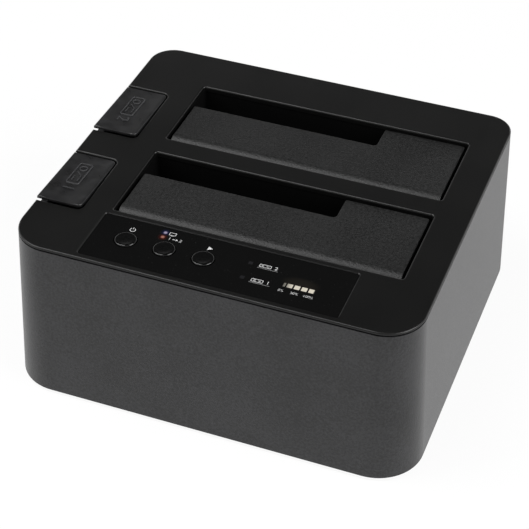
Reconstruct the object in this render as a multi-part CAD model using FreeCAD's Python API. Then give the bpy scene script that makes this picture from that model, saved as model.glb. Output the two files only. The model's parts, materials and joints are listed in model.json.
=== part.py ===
import FreeCAD, Part
import math
import os

V = FreeCAD.Vector
X_AXIS = V(1, 0, 0)
Z_AXIS = V(0, 0, 1)

# Drive duplicator, millimetres. +X right, +Y back, +Z up.
# Origin: middle of the footprint, on the surface the feet stand on.

# ---- body form -------------------------------------------------------------
BODY_H = 62.85         # lower edge of the shell to the cover's top face
FOOT_DROP = 1.5        # feet below the shell's lower edge
SIDE_DRAFT = 3.0       # each side leans out by this at the bottom
FRONT_DRAFT = 3.2      # the front leans out by this at the bottom
FRONT_R = 13.9         # front corners at the top
REAR_R = 9.6           # rear corners at the top
RIGHT_STRIP = 12.5     # slots to the cover's right edge
SHELL_WALL = 2.4
COVER_T = 2.0          # cover inside the shell's wall
RIM_T = 1.45           # cover where it sits on the shell's wall
COVER_ROUND = 0.7      # rounding of the cover's top edges
SEAM_DEPTH = 0.9       # shadow groove in the cover's rim, just above the shell
SEAM_H = 0.65
LIP_T = 1.4            # locating lip under the cover
LIP_H = 3.0
BASE_T = 2.2
BASE_INSET = 0.3       # base plate above the shell's lower edge
CATCH_T = 2.0          # catches above the base plate, inside the front and rear walls
CATCH_H = 4.0
FIT = 0.2              # clearance between fixed mouldings
EASE = 0.3             # clearance beside moving pieces
BORE_EASE = 0.05       # radial clearance of a pin or screw in its bore

# ---- drive bays --------------------------------------------------------------
DRIVE_W = 101.6        # wide drive, left to right
DRIVE_MARGIN = 1.7     # free space at each end of a drive
SMALL_DRIVE_W = 69.85  # narrow drive
CONNECTOR_SETBACK = 30.12   # drive's left edge to the connector's middle
CONNECTOR_OFFSET = 4.7      # far face of the bay to the connector's middle
SLOT_D = 36.8          # slot, front to back
SLOT_R = 1.0
BAY_BRIDGE = 9.3       # cover between the two slots
SMALL_GAP = 12.4       # always-open strip behind the flap
WELL_WALL = 1.6
WELL_FLOOR_Z = 15.6
WELL_FLOOR_T = 1.8
FLANGE_W = 1.9
FLANGE_T = 1.6
EAR_R = 3.2            # screw ears at the well's ends
EAR_T = 2.0
EAR_DROP = 5.0         # ears hang this far below the cover's underside
EAR_SHIFT = -15.5      # left ear from the middle of the bay, clear of the ejector
EAR_SCREW_L = 6.2

# ---- flaps -------------------------------------------------------------------
NOSE_R = 4.5           # rounded hinge edge
FLAP_SINK = 0.9        # flap face below the cover's face
FLAP_T = 2.4
FLAP_SIDE_GAP = 1.2
FLAP_TIP_GAP = 1.3
FLAP_INNER_R = 1.6     # corner of the L
FLAP_CORNER_R = 0.7
FLAP_ROUND = 0.35      # rounding of the flap's top edges
FLAP_RIB_T = 1.2
FLAP_RIB_H = 2.0
ROD_R = 1.0            # steel hinge rod
TONGUE_W = 5.0         # stop tongues on the flap's far edge
TONGUE_T = 1.0
TONGUE_REACH = 1.4     # how far they reach under the cover
TONGUE_INSET = 3.0
COIL_WIRE_R = 0.25
COIL_R = 1.65          # middle of the wire to the rod's axis
COIL_TURNS = 3
COIL_W = 4.4
COIL_INSET = 8.0       # coil from the flap's left edge
COIL_ARM = 11.0        # leg under the flap
COIL_TAIL = 5.0        # leg down the well's front wall

# ---- eject rockers and ejectors -----------------------------------------------
NOTCH_W = 17.2         # rocker's notch, from the cover's left edge
NOTCH_TO_SLOT = 10.3
NOTCH_L = 31.3
NOTCH_R = 2.2
NOTCH_SHIFT = -7.1     # middle of the notch from the middle of the bay
PAD_PROUD = 0.1        # pad beyond the cover's left edge
PAD_T = 1.15
PAD_FRONT_GAP = 1.0
PAD_REAR_GAP = 0.5
PAD_SIDE_GAP = 0.5
PAD_ROUND = 0.45
PAD_FRONT_RISE = 0.85  # front end above the cover at rest
PAD_REAR_SINK = 0.25   # rear end below the cover at rest
PAD_DISH_R = 120.0     # shallow trough along the pad
PAD_RIM = 1.2          # flat rim beside the trough
PIVOT_SHIFT = -5.0     # rocker's axis from the middle of the notch
PIVOT_DROP = 4.2       # rocker's axis below the cover's top face
PIVOT_R = 0.8
PIVOT_BOSS_W = 5.0     # bearing blocks at the rod's two ends
PIVOT_BOSS_T = 2.2
PIVOT_EAR_T = 1.8
PIVOT_BOSS_DROP = 2.4
BARREL_R = 1.9
ROCKER_TURN = 8.5      # degrees
ROCKER_RELIEF = 1.6    # shell wall lowered under a pad's front end
WEB_T = 1.5
WEB_FRONT = 7.0        # webs' reach under the pad, from the rocker's axis
WEB_REAR = 12.0
ARM_T = 3.6
ARM_INSET = 5.4        # arm from the barrel's left end
FINGER_R = 1.1
FINGER_DROP = 9.5      # finger's axis below the cover's top face
EJECTOR_T = 1.6
EJECTOR_W = 8.0
EJECTOR_SETBACK = 8.0  # middle of the ejector from the bay's far face
HOOK_T = 1.9
HOOK_REACH = 4.0
TOE_T = 1.8
FOOT_REACH = 3.8       # how far the ejector's toe reaches into the bay
RAIL_W = 1.5
RAIL_T = 1.4
BRIDGE_T = 1.6
BRIDGE_RISE = 8.0      # lower bridge above the well's floor
SEAT_DROP = 3.7        # spring's seat below the finger
RETURN_COIL_R = 1.8
RETURN_WIRE_R = 0.25
RETURN_COIL_H = 12.4
RETURN_TURNS = 5

# ---- control panel -------------------------------------------------------------
PANEL_FRONT = 2.5      # cover's front edge to the panel
PANEL_LEFT = 1.4       # panel's left edge to the left of the slots
PANEL_W = 92.4
PANEL_D = 23.5
PANEL_TO_SLOT = 2.5
PANEL_R = 1.0
PANEL_RECESS = 0.8
PANEL_BEVEL = 0.3      # round the recess in the cover
PANEL_T = 0.5
PANEL_POST_R = 2.5
PANEL_POST_INSET = 4.5
PANEL_SCREW_GRIP = 4.5 # screw inside its post
BUTTON_R = 3.8
BUTTON_GAP = 0.35
BUTTON_INSET = 12.45   # first button from the panel's left edge
BUTTON_PITCH = 14.15
BUTTON_FROM_FRONT = 12.25   # button's middle from the panel's front edge
BUTTON_RISE = 0.5
BUTTON_TRAVEL = 0.5
BUTTON_DISH = 0.22
BUTTON_RIM = 0.45
BUTTON_FLANGE = 0.9
BUTTON_STEM_R = 1.6
PANEL_BOARD_DROP = 12.0     # board's top face below the cover's top face
PANEL_BOARD_INSET = 1.5
BOARD_T = 1.6
SWITCH_W = 6.0
SWITCH_H = 3.5
PLUNGER_R = 1.7
PLUNGER_RISE = 1.2
LAMP = 1.5             # mode light windows, square
MODE_LAMP_INSET = 23.5      # from the panel's left edge
MODE_LAMP_PITCH = 2.5
MODE_LAMP_FROM_FRONT = 18.25
DRIVE_LAMP_INSET = 56.4
DRIVE_LAMP_PITCH = 7.9
DRIVE_LAMP_FROM_FRONT = 8.15
GAUGE_INSET = 71.7     # first full step from the panel's left edge
GAUGE_PITCH = 2.52
GAUGE_STEP_W = 1.85
GAUGE_STEP_D = 1.85
GAUGE_STEPS = 4
GAUGE_MARK_W = 0.7     # narrow first mark
GAUGE_MARK_GAP = 0.6
GAUGE_FOOT = 0.5       # light pipe's foot beyond its steps
GAUGE_FROM_FRONT = 9.55

# ---- boards, ports, fasteners ----------------------------------------------------
STANDOFF_H = 5.0
STANDOFF_R = 3.0
BOARD_LEFT = 28.5      # main board's edges from the cover's sides
BOARD_RIGHT = 16.5
MAIN_BOARD_FRONT = 7.0      # board's edges from the shell's inner faces
MAIN_BOARD_REAR = 2.2
BOARD_SCREW_INSET = 4.5
CONNECTOR_L = 42.0
CONNECTOR_W = 6.2
CONNECTOR_H = 8.6
CONNECTOR_END_H = 1.2  # guide ends above the connector's body
BLADE_DEPTH = 5.5
PIN_PITCH = 1.27
KEY_GAP = 3.4          # between the data and the power contacts
USB_INSET = 22.0       # from the board's left edge
USB_W = 12.2
USB_H = 11.0
USB_L = 17.0
USB_SHEET = 0.4
USB_BEVEL = 1.8
USB_BACK = 4.0         # insulator block at the port's inner end
USB_TONGUE_W = 5.6
USB_TONGUE_T = 3.2
USB_TONGUE_Z = 4.6
USB_TONGUE_SINK = 1.5  # tongue's tip behind the port's mouth
JACK_INSET = 20.0      # from the board's right edge
JACK_W = 9.0
JACK_H = 11.0
JACK_AXIS_H = 6.3
JACK_L = 14.0
JACK_BORE_R = 3.2
JACK_BORE_L = 9.5
JACK_PIN_R = 1.0
PORT_RECESS = 0.6      # port mouths behind the shell's rear face
PORT_GAP = 0.4
PORT_TO_WELL = 1.6     # ports' inner ends to the rear well
CHIP_WIDTHS = (9.0, 7.0, 5.0)
CHIP_GAP = 4.0
CHIP_H = 1.2
CHIP_INSET = 10.0      # chips and capacitors from the board's rear edge
CAN_R = 3.15
CAN_H = 8.5
RIBBON_W = 12.7
RIBBON_T = 0.8
HEADER_H = 3.0
HEADER_W = 3.2
PANEL_HEADER_INSET = 6.0
MAIN_HEADER_INSET = 3.5
POST_R = 3.5
POST_INSET = 10.5      # posts from the cover's edges
POST_BORE = 14.0
SCREW_R = 1.25
SCREW_L = 12.0
HEAD_R = 2.6
HEAD_H = 1.1
HEAD_SINK = 0.2
SCREW_SLOT = 0.5
SMALL_SCREW_R = 0.9
SMALL_HEAD_R = 1.8
SMALL_HEAD_H = 1.0
FOOT_R = 5.0
FOOT_POCKET = 0.7
FOOT_BEVEL = 0.5
FOOT_SIDE = 22.5       # feet from the cover's sides and ends
FOOT_END = 19.25
VENT_W = 2.4
VENT_L = 26.0
VENT_PITCH = 10.0
VENT_COUNT = 7
VENT_BANKS = 54.0      # between the two banks

# ---- worked out from the sizes above ------------------------------------------------
SLOT_W = DRIVE_W + 2 * DRIVE_MARGIN
COVER_W = NOTCH_W + NOTCH_TO_SLOT + SLOT_W + RIGHT_STRIP
REAR_STRIP = EASE + WELL_WALL + PORT_TO_WELL + USB_L + PORT_RECESS
BAY_PITCH = SLOT_D + BAY_BRIDGE
COVER_D = PANEL_FRONT + PANEL_D + PANEL_TO_SLOT + BAY_PITCH + SLOT_D + REAR_STRIP
TOP_Z = FOOT_DROP + BODY_H
SEAM_Z = TOP_Z - COVER_T            # cover's underside
SHELL_TOP_Z = TOP_Z - RIM_T         # shell's upper edge
CENTRE_Y = FRONT_DRAFT / 2          # middle of the cover
FRONT_Y = CENTRE_Y - COVER_D / 2    # cover's front and rear edges
REAR_Y = CENTRE_Y + COVER_D / 2
NOTCH_X1 = -COVER_W / 2 + NOTCH_W
SLOT_X0 = NOTCH_X1 + NOTCH_TO_SLOT
SLOT_X1 = SLOT_X0 + SLOT_W
STEP_X = SLOT_X0 + SMALL_DRIVE_W + 2 * DRIVE_MARGIN
PANEL_X0 = SLOT_X0 - PANEL_LEFT
PANEL_X1 = PANEL_X0 + PANEL_W
PANEL_Y0 = FRONT_Y + PANEL_FRONT
FRONT_BAY_Y = PANEL_Y0 + PANEL_D + PANEL_TO_SLOT + SLOT_D / 2
BAYS = {"front": FRONT_BAY_Y, "rear": FRONT_BAY_Y + BAY_PITCH}
WELL_TOP_Z = SEAM_Z
WELL_INNER_Z = WELL_FLOOR_Z + WELL_FLOOR_T
WELL_X0 = SLOT_X0 - EASE - WELL_WALL
WELL_X1 = SLOT_X1 + EASE + WELL_WALL
WELL_HALF_D = SLOT_D / 2 + EASE + WELL_WALL
HINGE_Z = TOP_Z - FLAP_SINK - NOSE_R
BASE_Z0 = FOOT_DROP + BASE_INSET
BASE_Z1 = BASE_Z0 + BASE_T
BOARD_Z0 = BASE_Z1 + STANDOFF_H
BOARD_Z1 = BOARD_Z0 + BOARD_T
MAIN_BOARD_X0 = -COVER_W / 2 + BOARD_LEFT
MAIN_BOARD_X1 = COVER_W / 2 - BOARD_RIGHT
USB_X = MAIN_BOARD_X0 + USB_INSET
JACK_X = MAIN_BOARD_X1 - JACK_INSET
PIVOT_Z = TOP_Z - PIVOT_DROP
FINGER_Z = TOP_Z - FINGER_DROP
LEVER = SLOT_D / 2 - EJECTOR_SETBACK - NOTCH_SHIFT - PIVOT_SHIFT
EJECTOR_LIFT = (LEVER * math.sin(math.radians(ROCKER_TURN))
                + (FINGER_DROP - PIVOT_DROP) * (1 - math.cos(math.radians(ROCKER_TURN))))
EJECTOR_X1 = WELL_X0 - EASE
EJECTOR_X0 = EJECTOR_X1 - EJECTOR_T
PANEL_Z = TOP_Z - PANEL_RECESS + PANEL_T
PANEL_BOARD_Z = TOP_Z - PANEL_BOARD_DROP
BUTTON_Y = PANEL_Y0 + BUTTON_FROM_FRONT
BUTTONS = {name: PANEL_X0 + BUTTON_INSET + i * BUTTON_PITCH
           for i, name in enumerate(("power", "mode", "start"))}
MODE_LAMP_X = PANEL_X0 + MODE_LAMP_INSET
MODE_LAMPS = {"red": PANEL_Y0 + MODE_LAMP_FROM_FRONT,
              "blue": PANEL_Y0 + MODE_LAMP_FROM_FRONT + MODE_LAMP_PITCH}
DRIVE_LAMP_X = PANEL_X0 + DRIVE_LAMP_INSET
DRIVE_LAMPS = [PANEL_Y0 + DRIVE_LAMP_FROM_FRONT + i * DRIVE_LAMP_PITCH for i in range(2)]
GAUGE_X0 = PANEL_X0 + GAUGE_INSET
GAUGE_Y = PANEL_Y0 + GAUGE_FROM_FRONT
FOOT_X = COVER_W / 2 - FOOT_SIDE
FOOT_Y = COVER_D / 2 - FOOT_END
PANEL_HEADER_Y = PANEL_Y0 + PANEL_D - PANEL_HEADER_INSET
MAIN_HEADER_Y = FRONT_Y + SHELL_WALL + MAIN_BOARD_FRONT + MAIN_HEADER_INSET


# ---- building blocks ------------------------------------------------------------------
def box(x0, x1, y0, y1, z0, z1):
    return Part.makeBox(x1 - x0, y1 - y0, z1 - z0, V(x0, y0, z0))


def rod_z(x, y, z0, z1, r):
    return Part.makeCylinder(r, z1 - z0, V(x, y, z0), Z_AXIS)


def rod_x(y, z, x0, x1, r):
    return Part.makeCylinder(r, x1 - x0, V(x0, y, z), X_AXIS)


def rod_y(x, z, y0, y1, r):
    return Part.makeCylinder(r, y1 - y0, V(x, y0, z), V(0, 1, 0))


def corner_arc(cx, cy, z, r, start):
    """Quarter arc about a corner's centre, anticlockwise from a start angle in degrees."""
    pts = []
    for turn in (0, 45, 90):
        a = math.radians(start + turn)
        pts.append(V(cx + r * math.cos(a), cy + r * math.sin(a), z))
    return Part.Arc(*pts)


def outline(x0, x1, y0, y1, z, r_front, r_rear):
    """Closed rectangle with its own radius for the front and for the rear corners."""
    arcs = [corner_arc(x1 - r_front, y0 + r_front, z, r_front, -90),
            corner_arc(x1 - r_rear, y1 - r_rear, z, r_rear, 0),
            corner_arc(x0 + r_rear, y1 - r_rear, z, r_rear, 90),
            corner_arc(x0 + r_front, y0 + r_front, z, r_front, 180)]
    edges = []
    for i, arc in enumerate(arcs):
        edges.append(arc.toShape())
        following = arcs[(i + 1) % 4]
        edges.append(Part.LineSegment(arc.EndPoint, following.StartPoint).toShape())
    return Part.Wire(edges)


def slab(x0, x1, y0, y1, z0, z1, r):
    """Plate with four equal rounded corners."""
    wire = outline(x0, x1, y0, y1, z0, r, r)
    return Part.Face(wire).extrude(V(0, 0, z1 - z0))


def plate_yz(points, x0, x1):
    """Flat outline in the Y-Z plane, given as (y, z) pairs, drawn out from x0 to x1."""
    corners = [V(x0, y, z) for y, z in points]
    return Part.Face(Part.makePolygon(corners + corners[:1])).extrude(V(x1 - x0, 0, 0))


def flared(x0, x1, y0, y1, z1, r, bevel):
    """Cutter for a straight bevel round a recess whose upper edge is at z1."""
    low = outline(x0, x1, y0, y1, z1 - bevel, r, r)
    high = outline(x0 - bevel, x1 + bevel, y0 - bevel, y1 + bevel, z1, r + bevel, r + bevel)
    return Part.makeLoft([low, high], True, True)


def joined(shapes):
    return shapes[0].fuse(shapes[1:]).removeSplitter()


def body_outline(z, inset):
    """The shell's outline at height z, moved in by inset: it widens evenly towards the floor."""
    t = (SHELL_TOP_Z - z) / (SHELL_TOP_Z - FOOT_DROP)
    half_w = COVER_W / 2 + SIDE_DRAFT * t - inset
    y0 = FRONT_Y - FRONT_DRAFT * t + inset
    grow = SIDE_DRAFT * t - inset
    return outline(-half_w, half_w, y0, REAR_Y - inset, z, FRONT_R + grow, REAR_R + grow)


def body_loft(z0, z1, inset):
    return Part.makeLoft([body_outline(z0, inset), body_outline(z1, inset)], True, True)


def coil(radius, wire_r, length, turns):
    """Square wire wound along +Z from the origin."""
    helix = Part.makeHelix(length / turns, length, radius)
    corners = [V(radius + i * wire_r, 0, k * wire_r) for i, k in ((-1, -1), (1, -1), (1, 1), (-1, 1))]
    profile = Part.makePolygon(corners + corners[:1])
    return Part.Wire(helix).makePipeShell([profile], True, True)


def edges_at(shape, z):
    """Edges that lie flat at height z."""
    return [e for e in shape.Edges if abs(e.BoundBox.ZMin - z) < 1e-4 and abs(e.BoundBox.ZMax - z) < 1e-4]


def screw(x, y, z_head, length, r, head_r, head_h):
    """Slotted screw driven upwards: its head's upper face is at z_head."""
    head = rod_z(x, y, z_head - head_h, z_head, head_r)
    shank = rod_z(x, y, z_head, z_head + length, r)
    half = SCREW_SLOT / 2
    slot = box(x - head_r, x + head_r, y - half, y + half, z_head - head_h, z_head - head_h / 2)
    return head.fuse(shank).cut(slot)


# ---- places shared by several pieces ------------------------------------------------------
def post_places():
    x = COVER_W / 2 - POST_INSET
    return [(sx * x, y) for sx in (-1, 1) for y in (FRONT_Y + POST_INSET, REAR_Y - POST_INSET)]


def board_y_span():
    inner_front = FRONT_Y + SHELL_WALL
    inner_rear = REAR_Y - SHELL_WALL
    return inner_front + MAIN_BOARD_FRONT, inner_rear - MAIN_BOARD_REAR


def board_screw_places():
    y0, y1 = board_y_span()
    xs = (MAIN_BOARD_X0 + BOARD_SCREW_INSET, MAIN_BOARD_X1 - BOARD_SCREW_INSET)
    return [(x, y) for x in xs for y in (y0 + BOARD_SCREW_INSET, y1 - BOARD_SCREW_INSET)]


def notch_middle(bay_y):
    return bay_y + NOTCH_SHIFT


def pivot_y(bay_y):
    return notch_middle(bay_y) + PIVOT_SHIFT


def ejector_y(bay_y):
    return bay_y + SLOT_D / 2 - EJECTOR_SETBACK


def hinge_y(bay_y):
    return bay_y - SLOT_D / 2 + EASE + NOSE_R


def connector_place(bay_y):
    return SLOT_X0 + DRIVE_MARGIN + CONNECTOR_SETBACK, bay_y + SLOT_D / 2 - CONNECTOR_OFFSET


def ear_places(bay_y):
    """Screw ears of a drive well: one at the right, one at the left in front of the ejector."""
    return [(WELL_X1 + EAR_R, bay_y), (WELL_X0 - EAR_R, bay_y + EAR_SHIFT)]


def tongue_places():
    """Left edges of the two stop tongues on a flap's tab."""
    tab_x1 = SLOT_X1 - FLAP_SIDE_GAP
    return [STEP_X + TONGUE_INSET, tab_x1 - TONGUE_INSET - TONGUE_W]


def tongue_groove_z0(bay_y):
    """Lower end of the grooves: below where a tongue's tip swings in past the well's wall."""
    reach = bay_y + SLOT_D / 2 + TONGUE_REACH - hinge_y(bay_y)
    wall = bay_y + SLOT_D / 2 + EASE - hinge_y(bay_y)
    radius = math.hypot(reach, NOSE_R - FLAP_T + TONGUE_T)
    return HINGE_Z - math.sqrt(radius ** 2 - wall ** 2) - 2 * EASE


def panel_post_places():
    xs = (PANEL_X0 + PANEL_POST_INSET, PANEL_X1 - PANEL_POST_INSET)
    return [(x, y) for x in xs for y in (PANEL_Y0 + PANEL_POST_INSET, PANEL_Y0 + PANEL_D - PANEL_POST_INSET)]


# ---- casing ---------------------------------------------------------------------------------
def pivot_boss(bay_y):
    """Boss inside the shell's left wall for the end of a rocker's rod, and its blind bore."""
    y = pivot_y(bay_y)
    x0 = -COVER_W / 2 + SHELL_WALL / 2
    x1 = -COVER_W / 2 + SHELL_WALL + PIVOT_BOSS_T
    half = PIVOT_BOSS_W / 2
    boss = box(x0, x1, y - half, y + half, PIVOT_Z - PIVOT_BOSS_DROP, PIVOT_Z + 2 * PIVOT_R)
    return boss, rod_x(y, PIVOT_Z, rod_start_x(), x1 + 1, PIVOT_R + BORE_EASE)


def rod_start_x():
    """Blind end of the rocker rod's bore, in the shell's left wall."""
    return -COVER_W / 2 + SHELL_WALL - 2 * FIT


def usb_cutout(grow):
    x0 = USB_X - USB_W / 2 - grow
    return box(x0, x0 + USB_W + 2 * grow, REAR_Y - SHELL_WALL - 1, REAR_Y + 1,
               BOARD_Z1 - grow, BOARD_Z1 + USB_H + grow)


def jack_cutout(grow):
    x0 = JACK_X - JACK_W / 2 - grow
    return box(x0, x0 + JACK_W + 2 * grow, REAR_Y - SHELL_WALL - 1, REAR_Y + 1,
               BOARD_Z1 - grow, BOARD_Z1 + JACK_H + grow)


def outer_shell():
    body = body_loft(FOOT_DROP, SHELL_TOP_Z, 0)
    shell = body.cut(body_loft(FOOT_DROP - 1, SHELL_TOP_Z + 1, SHELL_WALL))
    additions = []
    bores = []
    for bay_y in BAYS.values():
        y = notch_middle(bay_y)
        turn_y = pivot_y(bay_y)
        for y0, y1, depth in ((y - NOTCH_L / 2, turn_y, ROCKER_RELIEF), (turn_y, y + NOTCH_L / 2, EASE)):
            shell = shell.cut(box(-COVER_W, NOTCH_X1, y0, y1, SHELL_TOP_Z - depth, TOP_Z))
        boss, bore = pivot_boss(bay_y)
        additions.append(boss)
        bores.append(bore)
    front = FRONT_Y - FRONT_DRAFT + SHELL_WALL
    rear = REAR_Y - SHELL_WALL
    for x in (-FOOT_X, 0.0, FOOT_X):
        for y0, y1 in ((front - SHELL_WALL / 2, front + CATCH_T), (rear - CATCH_T, rear + SHELL_WALL / 2)):
            additions.append(box(x - CATCH_T / 2, x + CATCH_T / 2, y0, y1, BASE_Z1, BASE_Z1 + CATCH_H))
    shell = joined([shell] + additions)
    return shell.cut(bores + [usb_cutout(PORT_GAP), jack_cutout(PORT_GAP)])


def cover_plate():
    """Flat top with the two slots, the two rocker notches, rounded edges and a grooved rim."""
    wire = outline(-COVER_W / 2, COVER_W / 2, FRONT_Y, REAR_Y, SEAM_Z, FRONT_R, REAR_R)
    plate = Part.Face(wire).extrude(V(0, 0, COVER_T))
    blank = plate.copy()
    for bay_y in BAYS.values():
        plate = plate.cut(slab(SLOT_X0, SLOT_X1, bay_y - SLOT_D / 2, bay_y + SLOT_D / 2,
                               SEAM_Z - 1, TOP_Z + 1, SLOT_R))
        y = notch_middle(bay_y)
        plate = plate.cut(slab(-COVER_W, NOTCH_X1, y - NOTCH_L / 2, y + NOTCH_L / 2,
                               SEAM_Z - 1, TOP_Z + 1, NOTCH_R))
    plate = plate.makeFillet(COVER_ROUND, edges_at(plate, TOP_Z))
    rebate = blank.cut(body_loft(SEAM_Z - 1, TOP_Z, SHELL_WALL + FIT))
    rebate = rebate.common(box(-COVER_W, COVER_W, -COVER_D, COVER_D, SEAM_Z - 1, SHELL_TOP_Z))
    groove = blank.cut(body_loft(SEAM_Z - 1, TOP_Z, SEAM_DEPTH))
    groove = groove.common(box(-COVER_W, COVER_W, -COVER_D, COVER_D, SEAM_Z - 1, SHELL_TOP_Z + SEAM_H))
    return plate.cut([rebate, groove])


def cover_lip():
    """Ring under the cover that drops inside the shell, open at the rocker notches."""
    z0 = SEAM_Z - LIP_H
    ring = body_loft(z0, SEAM_Z, SHELL_WALL + FIT).cut(body_loft(z0 - 1, SEAM_Z + 1, SHELL_WALL + FIT + LIP_T))
    for bay_y in BAYS.values():
        y = notch_middle(bay_y)
        ring = ring.cut(box(-COVER_W, NOTCH_X1, y - NOTCH_L / 2 - 1, y + NOTCH_L / 2 + 1, z0 - 1, TOP_Z))
    return ring


def rod_ear(bay_y):
    """Ear under the cover that carries the inner end of a rocker's rod."""
    y = pivot_y(bay_y)
    x0 = NOTCH_X1 + EASE
    half = PIVOT_BOSS_W / 2
    return box(x0, x0 + PIVOT_EAR_T, y - half, y + half, PIVOT_Z - PIVOT_BOSS_DROP, SEAM_Z)


def top_cover():
    bosses = [cover_plate(), cover_lip()]
    bores = []
    for x, y in post_places():
        bosses.append(rod_z(x, y, BASE_Z1, SEAM_Z, POST_R))
        bores.append(rod_z(x, y, BASE_Z1 - 1, BASE_Z1 + POST_BORE, SCREW_R + BORE_EASE))
    for x, y in panel_post_places():
        bosses.append(rod_z(x, y, PANEL_BOARD_Z, SEAM_Z, PANEL_POST_R))
        bores.append(rod_z(x, y, PANEL_BOARD_Z - 1, PANEL_BOARD_Z + EAR_SCREW_L, SMALL_SCREW_R + BORE_EASE))
    for bay_y in BAYS.values():
        for x, y in ear_places(bay_y):
            bosses.append(rod_z(x, y, SEAM_Z - EAR_DROP, SEAM_Z, EAR_R))
            bores.append(rod_z(x, y, SEAM_Z - EAR_DROP - 1, SEAM_Z - 2 * FIT, SMALL_SCREW_R + BORE_EASE))
        bosses.append(rod_ear(bay_y))
        bores.append(rod_x(pivot_y(bay_y), PIVOT_Z, NOTCH_X1, NOTCH_X1 + 2 * PIVOT_EAR_T, PIVOT_R + BORE_EASE))
    bores.append(flared(PANEL_X0, PANEL_X1, PANEL_Y0, PANEL_Y0 + PANEL_D, TOP_Z, PANEL_R, PANEL_BEVEL))
    bores.append(slab(PANEL_X0, PANEL_X1, PANEL_Y0, PANEL_Y0 + PANEL_D, TOP_Z - PANEL_RECESS, TOP_Z + 1, PANEL_R))
    for x in BUTTONS.values():
        bores.append(rod_z(x, BUTTON_Y, SEAM_Z - 1, TOP_Z, BUTTON_R + BUTTON_GAP))
    bores += lamp_windows(SEAM_Z - 1, TOP_Z, FIT)
    bores.append(gauge_block(SEAM_Z - 1, TOP_Z, FIT))
    return joined(bosses).cut(bores)


def lamp_windows(z0, z1, grow):
    """Square ways for the two mode lamps and the two drive lamps."""
    places = [(MODE_LAMP_X, y) for y in MODE_LAMPS.values()] + [(DRIVE_LAMP_X, y) for y in DRIVE_LAMPS]
    half = LAMP / 2 + grow
    return [box(x - half, x + half, y - half, y + half, z0, z1) for x, y in places]


def gauge_windows(z0, z1, grow):
    """A narrow first mark and then the equal steps of the progress gauge."""
    spans = [(GAUGE_X0 - GAUGE_MARK_GAP - GAUGE_MARK_W, GAUGE_X0 - GAUGE_MARK_GAP)]
    for i in range(GAUGE_STEPS):
        x0 = GAUGE_X0 + i * GAUGE_PITCH
        spans.append((x0, x0 + GAUGE_STEP_W))
    half = GAUGE_STEP_D / 2 + grow
    return [box(x0 - grow, x1 + grow, GAUGE_Y - half, GAUGE_Y + half, z0, z1) for x0, x1 in spans]


def gauge_block(z0, z1, grow):
    """Foot that all the gauge's windows rise from."""
    x0 = GAUGE_X0 - GAUGE_MARK_GAP - GAUGE_MARK_W - GAUGE_FOOT - grow
    x1 = GAUGE_X0 + (GAUGE_STEPS - 1) * GAUGE_PITCH + GAUGE_STEP_W + GAUGE_FOOT + grow
    half = GAUGE_STEP_D / 2 + GAUGE_FOOT + grow
    return box(x0, x1, GAUGE_Y - half, GAUGE_Y + half, z0, z1)


def control_panel():
    """Gloss overlay, with round holes for the buttons and windows for the lamps."""
    z0 = TOP_Z - PANEL_RECESS
    panel = slab(PANEL_X0 + FIT / 2, PANEL_X1 - FIT / 2, PANEL_Y0 + FIT / 2, PANEL_Y0 + PANEL_D - FIT / 2,
                 z0, PANEL_Z, PANEL_R)
    holes = [rod_z(x, BUTTON_Y, z0 - 1, PANEL_Z + 1, BUTTON_R + BUTTON_GAP) for x in BUTTONS.values()]
    holes += lamp_windows(z0 - 1, PANEL_Z + 1, FIT / 4)
    holes += gauge_windows(z0 - 1, PANEL_Z + 1, FIT / 4)
    return panel.cut(holes)


def vent_slots():
    """Two banks of slots through the base plate."""
    slots = []
    half_w = VENT_W / 2
    half_l = VENT_L / 2
    for row in (-0.5, 0.5):
        for i in range(VENT_COUNT):
            x = (i - (VENT_COUNT - 1) / 2) * VENT_PITCH
            y = CENTRE_Y + row * VENT_BANKS
            slots.append(box(x - half_w, x + half_w, y - half_l, y + half_l, BASE_Z0 - 1, BASE_Z1 + 1))
    return slots


def foot_places():
    return [(sx * FOOT_X, sy * FOOT_Y) for sx in (-1, 1) for sy in (-1, 1)]


def base_plate():
    plate = body_loft(BASE_Z0, BASE_Z1, SHELL_WALL + FIT)
    standoffs = [rod_z(x, y, BASE_Z1, BOARD_Z0, STANDOFF_R) for x, y in board_screw_places()]
    cuts = vent_slots()
    for x, y in board_screw_places():
        cuts.append(rod_z(x, y, BASE_Z1 + EASE, BOARD_Z0 + 1, SMALL_SCREW_R + BORE_EASE))
    for x, y in post_places():
        cuts.append(rod_z(x, y, BASE_Z0 - 1, BASE_Z1 + 1, SCREW_R + FIT))
        cuts.append(rod_z(x, y, BASE_Z0 - 1, BASE_Z0 + HEAD_H + HEAD_SINK, HEAD_R + FIT))
    for x, y in foot_places():
        cuts.append(rod_z(x, y, BASE_Z0 - 1, BASE_Z0 + FOOT_POCKET, FOOT_R + FIT))
    return joined([plate] + standoffs).cut(cuts)


def rubber_feet():
    feet = []
    for x, y in foot_places():
        foot = rod_z(x, y, 0, BASE_Z0 + FOOT_POCKET, FOOT_R)
        feet.append(foot.makeChamfer(FOOT_BEVEL, edges_at(foot, 0)))
    return Part.makeCompound(feet)


def base_screws():
    z_head = BASE_Z0 + HEAD_H + HEAD_SINK
    return Part.makeCompound([screw(x, y, z_head, SCREW_L, SCREW_R, HEAD_R, HEAD_H) for x, y in post_places()])


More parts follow.
